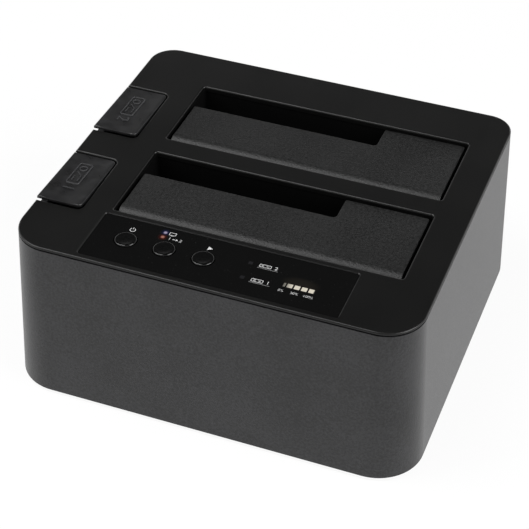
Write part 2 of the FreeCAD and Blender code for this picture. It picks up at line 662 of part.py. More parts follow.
# ---- drive wells ----------------------------------------------------------------------------
def ejector_guide(bay_y):
    """Rails and two bridges on the well's left wall; the upper bridge is also the spring's seat."""
    y = ejector_y(bay_y)
    half = EJECTOR_W / 2 + EASE
    x0 = EJECTOR_X0 - EASE
    z1 = spring_seat_z() + BRIDGE_T
    low_z = WELL_INNER_Z + BRIDGE_RISE
    rails = [box(x0 - RAIL_T, WELL_X0, y - half - RAIL_W, y - half, WELL_INNER_Z, z1),
             box(x0 - RAIL_T, WELL_X0, y + half, y + half + RAIL_W, WELL_INNER_Z, z1)]
    low = box(x0 - RAIL_T, x0, y - half, y + half, low_z, low_z + BRIDGE_T)
    seat = box(x0 - spring_reach(), x0, y - half - RAIL_W, y + half + RAIL_W, z1 - BRIDGE_T, z1)
    return rails + [low, seat]


def spring_seat_z():
    return FINGER_Z - FINGER_R - SEAT_DROP


def spring_reach():
    """How far the spring's seat and shelf stand out to pass its far side."""
    return 2 * (RETURN_COIL_R + 2 * EASE)


def drive_well(bay_y):
    y0 = bay_y - WELL_HALF_D
    y1 = bay_y + WELL_HALF_D
    well = slab(WELL_X0, WELL_X1, y0, y1, WELL_FLOOR_Z, WELL_TOP_Z, SLOT_R + WELL_WALL)
    flange = slab(WELL_X0 - FLANGE_W, WELL_X1 + FLANGE_W, y0 - FLANGE_W, y1 + FLANGE_W,
                  WELL_TOP_Z - FLANGE_T, WELL_TOP_Z, SLOT_R + WELL_WALL + FLANGE_W)
    y_eject = ejector_y(bay_y)
    half = EJECTOR_W / 2 + EASE + RAIL_W
    flange = flange.cut(box(WELL_X0 - 2 * FLANGE_W, WELL_X0, y_eject - half, y_eject + half,
                            SEAM_Z - 2 * FLANGE_T, SEAM_Z + 1))
    pieces = [well, flange] + ejector_guide(bay_y)
    cuts = []
    for x, y in ear_places(bay_y):
        z1 = SEAM_Z - EAR_DROP
        pieces.append(rod_z(x, y, z1 - EAR_T, z1, EAR_R))
        toward = WELL_X1 - WELL_WALL / 2 if x > 0 else WELL_X0 + WELL_WALL / 2
        pieces.append(box(min(x, toward), max(x, toward), y - EAR_R, y + EAR_R, z1 - EAR_T, z1))
        cuts.append(rod_z(x, y, z1 - EAR_T - 1, z1 + 1, SMALL_SCREW_R + FIT))
        cuts.append(rod_z(x, y, z1, SEAM_Z + 1, EAR_R + FIT))
    cuts.append(slab(SLOT_X0 - EASE, SLOT_X1 + EASE, bay_y - SLOT_D / 2 - EASE, bay_y + SLOT_D / 2 + EASE,
                     WELL_INNER_Z, TOP_Z, SLOT_R + EASE))
    cx, cy = connector_place(bay_y)
    cuts.append(slab(cx - CONNECTOR_L / 2 - 0.5, cx + CONNECTOR_L / 2 + 0.5, cy - CONNECTOR_W / 2 - 0.4,
                     cy + CONNECTOR_W / 2 + 0.4, WELL_FLOOR_Z - 1, WELL_INNER_Z + 1, 0.8))
    cuts.append(rod_x(hinge_y(bay_y), HINGE_Z, WELL_X0 - 1, WELL_X1 + 1, ROD_R + BORE_EASE))
    toe = EJECTOR_W / 2 - 1 + EASE
    cuts.append(box(WELL_X0 - 1, SLOT_X0, y_eject - toe, y_eject + toe, WELL_INNER_Z,
                    WELL_INNER_Z + TOE_T + EJECTOR_LIFT + 3 * EASE))
    for x in tongue_places():
        cuts.append(box(x - EASE, x + TONGUE_W + EASE, y1 - WELL_WALL - 1, y1 + FLANGE_W + 1,
                        tongue_groove_z0(bay_y), WELL_TOP_Z + 1))
    return joined(pieces).cut(cuts)


def well_screws():
    screws = []
    for bay_y in BAYS.values():
        for x, y in ear_places(bay_y):
            screws.append(screw(x, y, SEAM_Z - EAR_DROP - EAR_T, EAR_SCREW_L, SMALL_SCREW_R, SMALL_HEAD_R,
                                SMALL_HEAD_H))
    return Part.makeCompound(screws)


# ---- flaps ----------------------------------------------------------------------------------
def upright_edges(shape, x, y):
    """The straight edge that stands at one corner of a plate."""
    found = []
    for e in shape.Edges:
        b = e.BoundBox
        if abs(b.XMin - x) + abs(b.XMax - x) + abs(b.YMin - y) + abs(b.YMax - y) < 1e-3 and b.ZLength > 0.1:
            found.append(e)
    return found


def flap(bay_y):
    """L-shaped lid: a round hinge nose in front, a full-depth tab at the right, ribs underneath."""
    x0 = SLOT_X0 + FLAP_SIDE_GAP
    x1 = SLOT_X1 - FLAP_SIDE_GAP
    y_hinge = hinge_y(bay_y)
    far = bay_y + SLOT_D / 2
    y_recess = far - SMALL_GAP
    y_tip = far - FLAP_TIP_GAP
    z1 = HINGE_Z + NOSE_R
    z0 = z1 - FLAP_T
    corners = [(x0, y_hinge), (x1, y_hinge), (x1, y_tip), (STEP_X, y_tip), (STEP_X, y_recess), (x0, y_recess)]
    points = [V(x, y, z0) for x, y in corners]
    plate = Part.Face(Part.makePolygon(points + points[:1])).extrude(V(0, 0, FLAP_T))
    plate = plate.makeFillet(FLAP_INNER_R, upright_edges(plate, STEP_X, y_recess))
    rounded = [e for x, y in ((x0, y_recess), (STEP_X, y_tip), (x1, y_tip)) for e in upright_edges(plate, x, y)]
    plate = plate.makeFillet(FLAP_CORNER_R, rounded)
    rim = [e for e in edges_at(plate, z1) if e.BoundBox.YMax > y_hinge + 1 and e.BoundBox.YMin > y_hinge - 1e-4]
    plate = plate.makeFillet(FLAP_ROUND, rim)
    nose = rod_x(y_hinge, HINGE_Z, x0, x1, NOSE_R)
    pieces = [plate, nose]
    third = (STEP_X - x0) / 3
    tab = STEP_X + third / 3
    for x in (STEP_X - 2 * third, STEP_X - third, tab, x1 + STEP_X - tab):
        y_end = (y_tip if x > STEP_X else y_recess) - FLAP_RIB_H
        foot_z = z0 + FLAP_T / 4
        outline_yz = [(y_hinge + ROD_R, foot_z), (y_hinge + ROD_R, z0 - FLAP_RIB_H),
                      (y_end - 2 * FLAP_RIB_H, z0 - FLAP_RIB_H), (y_end, z0), (y_end, foot_z)]
        pieces.append(plate_yz(outline_yz, x - FLAP_RIB_T / 2, x + FLAP_RIB_T / 2))
    for x in tongue_places():
        pieces.append(box(x, x + TONGUE_W, y_tip - 2, far + TONGUE_REACH, z0, z0 + TONGUE_T))
    lid = joined(pieces)
    coil_x0, coil_x1 = coil_span()
    pocket = rod_x(y_hinge, HINGE_Z, coil_x0 - 0.5, coil_x1 + 0.5, COIL_R + COIL_WIRE_R + 0.35)
    reach = NOSE_R + 1
    mouth = box(coil_x0 - 0.5, coil_x1 + 0.5, y_hinge - reach, y_hinge + reach, HINGE_Z - reach, HINGE_Z)
    return lid.cut([rod_x(y_hinge, HINGE_Z, x0 - 1, x1 + 1, ROD_R + BORE_EASE), pocket, mouth])


def coil_span():
    """Where the flap's return spring sits along the rod."""
    x0 = SLOT_X0 + FLAP_SIDE_GAP + COIL_INSET
    return x0, x0 + COIL_W


def flap_rod(bay_y):
    rod = rod_x(hinge_y(bay_y), HINGE_Z, WELL_X0, WELL_X1, ROD_R)
    return rod.makeChamfer(0.2, [e for e in rod.Edges if e.BoundBox.XLength < 1e-4])


def flap_spring(bay_y):
    """Torsion spring: a coil on the rod, one leg under the flap and one against the well's front wall."""
    x0, x1 = coil_span()
    y = hinge_y(bay_y)
    touch = COIL_WIRE_R + EASE
    rise = NOSE_R - FLAP_T - touch + COIL_R
    toward = NOSE_R + 2 * EASE - touch - COIL_R
    winding = coil(COIL_R, COIL_WIRE_R, x1 - x0 - 2 * COIL_WIRE_R, COIL_TURNS)
    winding.rotate(V(0, 0, 0), V(0, 1, 0), 90)
    winding.translate(V(x0 + COIL_WIRE_R, y, HINGE_Z))
    z_leg = HINGE_Z - COIL_R
    arm = Part.makeCylinder(COIL_WIRE_R, COIL_ARM, V(x0 + COIL_WIRE_R, y, z_leg), V(0, COIL_ARM, rise))
    tail = Part.makeCylinder(COIL_WIRE_R, COIL_TAIL, V(x1 - COIL_WIRE_R, y - COIL_R, HINGE_Z),
                             V(0, -toward, -COIL_TAIL))
    return joined([winding, arm, tail])


# ---- eject rockers -----------------------------------------------------------------------------
def pad_ends(bay_y):
    """Near and far ends of a rocker's pad."""
    y = notch_middle(bay_y)
    return y - NOTCH_L / 2 + PAD_FRONT_GAP, y + NOTCH_L / 2 - PAD_REAR_GAP


def pad_z(bay_y, y, depth):
    """Height at y of the plane that lies a depth below the pad's tilted top."""
    y0, y1 = pad_ends(bay_y)
    slope = (PAD_FRONT_RISE + PAD_REAR_SINK) / (y1 - y0)
    return TOP_Z + PAD_FRONT_RISE - slope * (y - y0) - depth


def pad(bay_y):
    """Rocker's top: tilted plate, square at the cover's edge, with a shallow trough along it."""
    y0, y1 = pad_ends(bay_y)
    x0 = -COVER_W / 2 - PAD_PROUD
    x1 = NOTCH_X1 - PAD_SIDE_GAP
    mid_z = TOP_Z + (PAD_FRONT_RISE - PAD_REAR_SINK) / 2
    plate = slab(x0 - NOTCH_R, x1, y0, y1, mid_z - PAD_T, mid_z, NOTCH_R - PAD_SIDE_GAP)
    plate = plate.common(box(x0, x1 + 1, y0 - 1, y1 + 1, mid_z - 2 * PAD_T, mid_z + 1))
    plate = plate.makeFillet(PAD_ROUND, edges_at(plate, mid_z))
    sag = (x1 - x0 - 2 * PAD_RIM) ** 2 / (8 * PAD_DISH_R)
    trough = rod_y((x0 + x1) / 2, mid_z + PAD_DISH_R - sag, y0 - 1, y1 + 1, PAD_DISH_R)
    plate = plate.cut(trough.common(box(x0, x1, y0 - 1, y1 + 1, mid_z - 1, mid_z + 1)))
    tilt = math.degrees(math.atan((PAD_FRONT_RISE + PAD_REAR_SINK) / (y1 - y0)))
    plate.rotate(V(0, (y0 + y1) / 2, mid_z), X_AXIS, -tilt)
    return plate


def eject_rocker(bay_y):
    """Pad on a barrel, with a hidden arm and finger that lift the ejector."""
    y = pivot_y(bay_y)
    x0 = -COVER_W / 2 + SHELL_WALL + PIVOT_BOSS_T + EASE
    x1 = NOTCH_X1 - EASE / 2
    barrel = rod_x(y, PIVOT_Z, x0, x1, BARREL_R)
    root_z = PIVOT_Z - BARREL_R / 2
    seat = 0.8 * PAD_T
    webs = [plate_yz([(y - WEB_FRONT, pad_z(bay_y, y - WEB_FRONT, seat)),
                      (y + WEB_REAR, pad_z(bay_y, y + WEB_REAR, seat)),
                      (y + BARREL_R, root_z), (y - BARREL_R / 2, root_z)], wx0, wx0 + WEB_T)
            for wx0 in (x0, x1 - EASE - WEB_T)]
    y_tip = ejector_y(bay_y)
    arm_x0 = x0 + ARM_INSET
    arm = plate_yz([(y, PIVOT_Z + 1.2), (y, PIVOT_Z - 1.4), (y_tip, FINGER_Z - FINGER_R),
                    (y_tip, FINGER_Z + FINGER_R)], arm_x0, arm_x0 + ARM_T)
    finger = rod_x(y_tip, FINGER_Z, arm_x0, EJECTOR_X0 - 1.0, FINGER_R)
    rocker = joined([pad(bay_y), barrel, arm, finger] + webs)
    return rocker.cut(rod_x(y, PIVOT_Z, x0 - 1, x1 + 1, PIVOT_R + BORE_EASE))


def eject_rod(bay_y):
    x1 = NOTCH_X1 + EASE + PIVOT_EAR_T
    return rod_x(pivot_y(bay_y), PIVOT_Z, rod_start_x() + FIT / 2, x1, PIVOT_R)


def ejector(bay_y):
    """Upright slide outside the well: a hook over the rocker's finger above, a toe under the drive below."""
    y = ejector_y(bay_y)
    half = EJECTOR_W / 2
    hook_z0 = FINGER_Z + FINGER_R + EASE
    z0 = WELL_INNER_Z + EASE
    strip = box(EJECTOR_X0, EJECTOR_X1, y - half, y + half, z0, hook_z0 + HOOK_T)
    narrow = EJECTOR_W / 3
    hook = box(EJECTOR_X0 - HOOK_REACH, EJECTOR_X0, y - narrow, y + narrow, hook_z0, hook_z0 + HOOK_T)
    shelf_z = spring_seat_z() - RETURN_COIL_H
    gusset_z = shelf_z - BRIDGE_T
    shelf = box(EJECTOR_X0 - EASE - spring_reach(), EJECTOR_X0, y - narrow, y + narrow, gusset_z, shelf_z)
    gusset = Part.Face(Part.makePolygon([V(EJECTOR_X0, y, gusset_z), V(EJECTOR_X0 - RAIL_T, y, gusset_z),
                                         V(EJECTOR_X0, y, gusset_z - narrow), V(EJECTOR_X0, y, gusset_z)]))
    gusset = gusset.extrude(V(0, WELL_WALL, 0))
    toe = box(EJECTOR_X1 - 0.1, SLOT_X0 + FOOT_REACH, y - half + 1, y + half - 1, z0, z0 + TOE_T)
    return joined([strip, hook, shelf, gusset, toe])


def eject_spring(bay_y):
    """Compression spring between the ejector's shelf and its seat on the well."""
    length = RETURN_COIL_H - 2 * RETURN_WIRE_R - 0.1
    spring = coil(RETURN_COIL_R, RETURN_WIRE_R, length, RETURN_TURNS)
    spring.translate(V(EJECTOR_X0 - EASE - spring_reach() / 2, ejector_y(bay_y),
                       spring_seat_z() - RETURN_COIL_H + RETURN_WIRE_R + 0.05))
    return spring


# ---- boards and connectors ------------------------------------------------------------------------
def main_board():
    y0, y1 = board_y_span()
    board = slab(MAIN_BOARD_X0, MAIN_BOARD_X1, y0, y1, BOARD_Z0, BOARD_Z1, 1.5)
    cuts = [rod_z(x, y, BOARD_Z0 - 1, BOARD_Z1 + 1, SMALL_SCREW_R + FIT) for x, y in board_screw_places()]
    return board.cut(cuts)


def board_screws():
    screws = []
    for x, y in board_screw_places():
        one = screw(x, y, 0, STANDOFF_H + BOARD_T - 1, SMALL_SCREW_R, SMALL_HEAD_R, SMALL_HEAD_H)
        one.rotate(V(x, y, 0), X_AXIS, 180)
        one.translate(V(0, 0, BOARD_Z1))
        screws.append(one)
    return Part.makeCompound(screws)


def connector_slots(bay_y):
    """The two blade slots of a drive connector: (start, contacts) for data and for power."""
    cx, cy = connector_place(bay_y)
    x0 = cx - (22 * PIN_PITCH + KEY_GAP) / 2
    return [(x0, 7), (x0 + 7 * PIN_PITCH + KEY_GAP, 15)], cy


def sata_connector(bay_y):
    cx, cy = connector_place(bay_y)
    z1 = BOARD_Z1 + CONNECTOR_H
    body = slab(cx - CONNECTOR_L / 2 + 3, cx + CONNECTOR_L / 2 - 3, cy - CONNECTOR_W / 2, cy + CONNECTOR_W / 2,
                BOARD_Z1, z1, 0.5)
    ends = [slab(cx + s * (CONNECTOR_L / 2 - 2) - 2, cx + s * (CONNECTOR_L / 2 - 2) + 2, cy - CONNECTOR_W / 2 + 0.6,
                 cy + CONNECTOR_W / 2 - 0.6, BOARD_Z1, z1 + CONNECTOR_END_H, 0.8) for s in (-1, 1)]
    slots, y = connector_slots(bay_y)
    cuts = []
    for x0, count in slots:
        cuts.append(box(x0, x0 + count * PIN_PITCH, y - 1.1, y + 0.9, z1 - BLADE_DEPTH, z1 + 1))
    return joined([body] + ends).cut(cuts)


def sata_contacts(bay_y):
    """Contact strips along one face of each blade slot."""
    slots, y = connector_slots(bay_y)
    z1 = BOARD_Z1 + CONNECTOR_H
    strips = []
    for x0, count in slots:
        for i in range(count):
            x = x0 + (i + 0.5) * PIN_PITCH
            strips.append(box(x - 0.3, x + 0.3, y + 0.6, y + 0.9, z1 - BLADE_DEPTH, z1 - 0.9))
    return Part.makeCompound(strips)


def usb_port():
    """Square metal shell, open at the rear, with the bevelled upper corners of its type."""
    y1 = REAR_Y - PORT_RECESS
    y0 = y1 - USB_L
    shell = box(USB_X - USB_W / 2, USB_X + USB_W / 2, y0, y1, BOARD_Z1, BOARD_Z1 + USB_H)
    s = USB_SHEET
    inner = box(USB_X - USB_W / 2 + s, USB_X + USB_W / 2 - s, y0 + s, y1 + 1, BOARD_Z1 + s, BOARD_Z1 + USB_H - s)
    top = [e for e in shell.Edges if e.BoundBox.YLength > 1 and e.BoundBox.ZMin > BOARD_Z1 + 1]
    shell = shell.makeChamfer(USB_BEVEL, top)
    top = [e for e in inner.Edges if e.BoundBox.YLength > 1 and e.BoundBox.ZMin > BOARD_Z1 + 1]
    return shell.cut(inner.makeChamfer(USB_BEVEL - USB_SHEET / 2, top))


def usb_tongue():
    """Insulator block at the back of the port and the tongue that stands out of it."""
    y1 = REAR_Y - PORT_RECESS
    y0 = y1 - USB_L + USB_SHEET
    s = USB_SHEET + 0.05
    back = box(USB_X - USB_W / 2 + s, USB_X + USB_W / 2 - s, y0, y0 + USB_BACK, BOARD_Z1 + s,
               BOARD_Z1 + USB_H - USB_BEVEL - 3 * FIT)
    middle_z = BOARD_Z1 + USB_TONGUE_Z
    tongue = box(USB_X - USB_TONGUE_W / 2, USB_X + USB_TONGUE_W / 2, y0 + USB_BACK / 2, y1 - USB_TONGUE_SINK,
                 middle_z - USB_TONGUE_T / 2, middle_z + USB_TONGUE_T / 2)
    return joined([back, tongue])


def dc_jack():
    y1 = REAR_Y - PORT_RECESS
    z = BOARD_Z1 + JACK_AXIS_H
    block = box(JACK_X - JACK_W / 2, JACK_X + JACK_W / 2, y1 - JACK_L, y1, BOARD_Z1, BOARD_Z1 + JACK_H)
    return block.cut([rod_y(JACK_X, z, y1 - JACK_BORE_L, y1 + 1, JACK_BORE_R),
                      rod_y(JACK_X, z, y1 - JACK_L + 1, y1, JACK_PIN_R + BORE_EASE)])


def dc_jack_pin():
    y1 = REAR_Y - PORT_RECESS
    z = BOARD_Z1 + JACK_AXIS_H
    pin = rod_y(JACK_X, z, y1 - JACK_L + 1.2, y1 - 1.2, JACK_PIN_R)
    return pin.makeChamfer(0.6, [e for e in pin.Edges if e.BoundBox.YMin > y1 - 2 and e.BoundBox.XLength > 1])


def chips():
    """Flat packages on the main board: bridge controller, copy controller and memory."""
    y = board_y_span()[1] - CHIP_INSET
    x = (USB_X + JACK_X) / 2 - (sum(CHIP_WIDTHS) + (len(CHIP_WIDTHS) - 1) * CHIP_GAP) / 2
    places = []
    for w in CHIP_WIDTHS:
        places.append((x + w / 2, w))
        x += w + CHIP_GAP
    return Part.makeCompound([slab(x - w / 2, x + w / 2, y - w / 2, y + w / 2, BOARD_Z1, BOARD_Z1 + CHIP_H, 0.3)
                              for x, w in places])


def capacitors():
    y = board_y_span()[1] - CHIP_INSET
    cans = []
    for x in (USB_X - USB_W / 2 - 1.5 * CAN_R, JACK_X + JACK_W / 2 + 1.5 * CAN_R):
        can = rod_z(x, y, BOARD_Z1, BOARD_Z1 + CAN_H, CAN_R)
        cans.append(can.makeChamfer(0.4, edges_at(can, BOARD_Z1 + CAN_H)))
    return Part.makeCompound(cans)


# ---- control board -----------------------------------------------------------------------------------
def panel_board():
    edge = PANEL_BOARD_INSET
    board = slab(PANEL_X0 + edge, PANEL_X1 - edge, PANEL_Y0 + edge, PANEL_Y0 + PANEL_D - edge,
                 PANEL_BOARD_Z - BOARD_T, PANEL_BOARD_Z, 1.0)
    cuts = [rod_z(x, y, PANEL_BOARD_Z - BOARD_T - 1, PANEL_BOARD_Z + 1, SMALL_SCREW_R + FIT)
            for x, y in panel_post_places()]
    return board.cut(cuts)


def panel_screws():
    z = PANEL_BOARD_Z - BOARD_T
    return Part.makeCompound([screw(x, y, z, BOARD_T + PANEL_SCREW_GRIP, SMALL_SCREW_R, SMALL_HEAD_R, SMALL_HEAD_H)
                              for x, y in panel_post_places()])


def tact_switches():
    bodies = []
    for x in BUTTONS.values():
        body = box(x - SWITCH_W / 2, x + SWITCH_W / 2, BUTTON_Y - SWITCH_W / 2, BUTTON_Y + SWITCH_W / 2,
                   PANEL_BOARD_Z, PANEL_BOARD_Z + SWITCH_H)
        bodies.append(body.cut(rod_z(x, BUTTON_Y, PANEL_BOARD_Z + SWITCH_H - 1.4, PANEL_BOARD_Z + SWITCH_H + 1,
                                     PLUNGER_R + BORE_EASE)))
    return Part.makeCompound(bodies)


def plunger(x):
    z1 = PANEL_BOARD_Z + SWITCH_H
    return rod_z(x, BUTTON_Y, z1 - 0.6, z1 + PLUNGER_RISE, PLUNGER_R)


def push_button(x):
    """Turned profile: dished cap with a rounded rim, a retaining flange and a stem."""
    top = PANEL_Z + BUTTON_RISE
    flange_z = SEAM_Z - 0.15
    stem_z = PANEL_BOARD_Z + SWITCH_H + PLUNGER_RISE
    r = BUTTON_R
    rim = BUTTON_RIM
    start = V(0, 0, top - BUTTON_DISH)
    lip = V(r - rim - 0.5, 0, top)
    sphere_r = (lip.x ** 2 + BUTTON_DISH ** 2) / (2 * BUTTON_DISH)
    half_turn = math.asin(lip.x / sphere_r) / 2
    bend = V(r - rim * 0.3, 0, top - rim * 0.3)
    middle = V(sphere_r * math.sin(half_turn), 0, start.z + sphere_r * (1 - math.cos(half_turn)))
    dish = Part.Arc(start, middle, lip)
    flange_r = r + BUTTON_FLANGE
    flange_z0 = flange_z - BUTTON_FLANGE
    points = [V(r, 0, top - rim), V(r, 0, flange_z), V(flange_r, 0, flange_z), V(flange_r, 0, flange_z0),
              V(BUTTON_STEM_R, 0, flange_z0), V(BUTTON_STEM_R, 0, stem_z), V(0, 0, stem_z), start]
    edges = [dish.toShape(), Part.LineSegment(lip, V(r - rim, 0, top)).toShape(),
             Part.Arc(V(r - rim, 0, top), bend, points[0]).toShape()]
    edges += [Part.LineSegment(a, b).toShape() for a, b in zip(points, points[1:])]
    button = Part.Face(Part.Wire(edges)).revolve(V(0, 0, 0), Z_AXIS, 360)
    button.translate(V(x, BUTTON_Y, 0))
    return button


def light_pipe(x, y):
    half = LAMP / 2
    return box(x - half, x + half, y - half, y + half, PANEL_BOARD_Z + 0.8, PANEL_Z)


def drive_light_pipes():
    return Part.makeCompound([light_pipe(DRIVE_LAMP_X, y) for y in DRIVE_LAMPS])


def gauge_light_pipe():
    block = gauge_block(PANEL_BOARD_Z + 0.8, TOP_Z - PANEL_RECESS, 0)
    return joined([block] + gauge_windows(TOP_Z - PANEL_RECESS - 0.5, PANEL_Z, 0))


def panel_lamps():
    """Small lamps on the control board, one under each light pipe or gauge step."""
    places = [(MODE_LAMP_X, y) for y in MODE_LAMPS.values()] + [(DRIVE_LAMP_X, y) for y in DRIVE_LAMPS]
    places += [(GAUGE_X0 + i * GAUGE_PITCH + GAUGE_STEP_W / 2, GAUGE_Y) for i in range(GAUGE_STEPS)]
    return Part.makeCompound([box(x - 0.5, x + 0.5, y - 0.5, y + 0.5, PANEL_BOARD_Z, PANEL_BOARD_Z + 0.8)
                              for x, y in places])


def headers():
    """Ribbon headers: one under the control board, one on the main board."""
    half_l = RIBBON_W / 2 + 1
    half_w = HEADER_W / 2
    under = box(-half_l, half_l, PANEL_HEADER_Y - half_w, PANEL_HEADER_Y + half_w,
                PANEL_BOARD_Z - BOARD_T - HEADER_H, PANEL_BOARD_Z - BOARD_T)
    lower = box(-half_l, half_l, MAIN_HEADER_Y - half_w, MAIN_HEADER_Y + half_w,
                BOARD_Z1, BOARD_Z1 + HEADER_H)
    return Part.makeCompound([under, lower])


def ribbon_cable():
    """Flat cable between the headers: two equal arcs, one each way, with no straight between."""
    z0 = PANEL_BOARD_Z - BOARD_T - HEADER_H
    z1 = BOARD_Z1 + HEADER_H
    dy = MAIN_HEADER_Y - PANEL_HEADER_Y
    dz = z0 - z1
    turn = 2 * math.atan(abs(dy) / dz)
    r = dz / (2 * math.sin(turn))
    side = 1 if dy > 0 else -1
    x = -RIBBON_W / 2

    def on_arc(upper, a, offset):
        if upper:
            centre_y = PANEL_HEADER_Y + side * r
            return V(x, centre_y - side * (r + offset) * math.cos(a), z0 - (r + offset) * math.sin(a))
        centre_y = MAIN_HEADER_Y - side * r
        return V(x, centre_y + side * (r - offset) * math.cos(a), z1 + (r - offset) * math.sin(a))

    h = RIBBON_T / 2
    edges = []
    for offset in (h, -h):
        edges.append(Part.Arc(on_arc(True, 0, offset), on_arc(True, turn / 2, offset),
                              on_arc(True, turn, offset)).toShape())
        edges.append(Part.Arc(on_arc(False, turn, offset), on_arc(False, turn / 2, offset),
                              on_arc(False, 0, offset)).toShape())
    edges.append(Part.LineSegment(on_arc(True, 0, h), on_arc(True, 0, -h)).toShape())
    edges.append(Part.LineSegment(on_arc(False, 0, h), on_arc(False, 0, -h)).toShape())
    wire = Part.Wire(Part.__sortEdges__(edges))
    return Part.Face(wire).extrude(V(RIBBON_W, 0, 0))


# ---- all nodes --------------------------------------------------------------------------------------
def nodes():
    out = {
        "outer_shell": outer_shell(),
        "top_cover": top_cover(),
        "control_panel": control_panel(),
        "base_plate": base_plate(),
        "rubber_feet": rubber_feet(),
        "base_screws": base_screws(),
        "well_screws": well_screws(),
        "main_board": main_board(),
        "board_screws": board_screws(),
        "usb_port": usb_port(),
        "usb_tongue": usb_tongue(),
        "dc_jack": dc_jack(),
        "dc_jack_pin": dc_jack_pin(),
        "controller_chips": chips(),
        "capacitors": capacitors(),
        "panel_board": panel_board(),
        "panel_screws": panel_screws(),
        "tact_switches": tact_switches(),
        "drive_light_pipes": drive_light_pipes(),
        "gauge_light_pipe": gauge_light_pipe(),
        "panel_lamps": panel_lamps(),
        "ribbon_headers": headers(),
        "ribbon_cable": ribbon_cable(),
    }
    for colour, y in MODE_LAMPS.items():
        out[colour + "_light_pipe"] = light_pipe(MODE_LAMP_X, y)
    for name, x in BUTTONS.items():
        out[name + "_button"] = push_button(x)
        out[name + "_plunger"] = plunger(x)
    for bay, bay_y in BAYS.items():
        out["drive_well_" + bay] = drive_well(bay_y)
        out["flap_" + bay] = flap(bay_y)
        out["flap_rod_" + bay] = flap_rod(bay_y)
        out["flap_spring_" + bay] = flap_spring(bay_y)
        out["eject_rocker_" + bay] = eject_rocker(bay_y)
        out["eject_rod_" + bay] = eject_rod(bay_y)
        out["ejector_" + bay] = ejector(bay_y)
        out["eject_spring_" + bay] = eject_spring(bay_y)
        out["sata_connector_" + bay] = sata_connector(bay_y)
        out["sata_contacts_" + bay] = sata_contacts(bay_y)
    return out


def main():
    os.makedirs("parts", exist_ok=True)
    for name, shape in nodes().items():
        shape.exportStep("parts/" + name + ".step")


main()
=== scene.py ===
import json
import math

import bmesh
import bpy
import numpy as np
from mathutils import Matrix, Vector

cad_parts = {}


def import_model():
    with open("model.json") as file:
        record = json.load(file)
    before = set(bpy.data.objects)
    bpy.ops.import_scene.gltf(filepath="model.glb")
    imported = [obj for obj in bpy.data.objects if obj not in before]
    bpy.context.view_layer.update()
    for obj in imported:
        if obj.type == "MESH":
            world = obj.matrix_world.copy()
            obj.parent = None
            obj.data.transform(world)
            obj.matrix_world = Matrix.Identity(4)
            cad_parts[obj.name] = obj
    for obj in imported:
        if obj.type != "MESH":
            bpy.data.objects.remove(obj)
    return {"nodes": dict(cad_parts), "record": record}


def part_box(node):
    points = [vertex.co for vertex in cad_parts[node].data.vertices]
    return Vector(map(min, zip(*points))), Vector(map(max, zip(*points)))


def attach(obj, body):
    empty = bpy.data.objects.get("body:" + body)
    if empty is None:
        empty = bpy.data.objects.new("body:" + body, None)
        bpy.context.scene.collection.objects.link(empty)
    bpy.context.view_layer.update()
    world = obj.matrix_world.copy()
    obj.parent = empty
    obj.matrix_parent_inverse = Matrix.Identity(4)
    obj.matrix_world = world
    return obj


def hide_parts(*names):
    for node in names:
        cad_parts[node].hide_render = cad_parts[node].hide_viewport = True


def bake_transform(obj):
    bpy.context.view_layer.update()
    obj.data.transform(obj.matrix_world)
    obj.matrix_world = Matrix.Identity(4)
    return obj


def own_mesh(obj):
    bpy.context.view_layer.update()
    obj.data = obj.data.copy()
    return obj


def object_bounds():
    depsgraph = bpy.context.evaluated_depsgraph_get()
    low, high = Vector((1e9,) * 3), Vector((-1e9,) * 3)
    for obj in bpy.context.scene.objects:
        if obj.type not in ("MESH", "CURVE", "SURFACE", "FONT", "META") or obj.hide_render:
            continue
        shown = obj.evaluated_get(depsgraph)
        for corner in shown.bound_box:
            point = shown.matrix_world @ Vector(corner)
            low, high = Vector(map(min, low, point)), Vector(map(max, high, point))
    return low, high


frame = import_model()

# Drive duplicator: finishes, printed and raised marks, studio. Metres, +X right, +Y back, +Z up.

MM = 0.001
cad_box = [list(corner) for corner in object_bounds()]
MIDDLE = (Vector(cad_box[0]) + Vector(cad_box[1])) / 2
for material in list(bpy.data.materials):
    bpy.data.materials.remove(material)     # the plain ones, so that their names are free


# ---- shader maths --------------------------------------------------------------------------
class Value:
    """One socket of a node tree. Arithmetic on it adds Math nodes to the same tree."""

    def __init__(self, finish, socket):
        self.finish = finish
        self.socket = socket

    def math(self, operation, first, second=None):
        inputs = {0: first} if second is None else {0: first, 1: second}
        return self.finish.node("ShaderNodeMath", {"operation": operation}, inputs)

    def __add__(self, other):
        return self.math("ADD", self, other)

    def __radd__(self, other):
        return self.math("ADD", other, self)

    def __sub__(self, other):
        return self.math("SUBTRACT", self, other)

    def __rsub__(self, other):
        return self.math("SUBTRACT", other, self)

    def __mul__(self, other):
        return self.math("MULTIPLY", self, other)

    def __truediv__(self, other):
        return self.math("DIVIDE", self, other)

    def __pow__(self, other):
        return self.math("POWER", self, other)

    def least(self, other):
        return self.math("MINIMUM", self, other)

    def wave(self):
        return self.math("SINE", self)

    def ramp(self, low, high):
        """0 below low, 1 above high, a smooth step between them."""
        settings = {"clamp": True, "interpolation_type": "SMOOTHSTEP"}
        return self.finish.node("ShaderNodeMapRange", settings, {0: self, 1: low, 2: high, 3: 0.0, 4: 1.0})


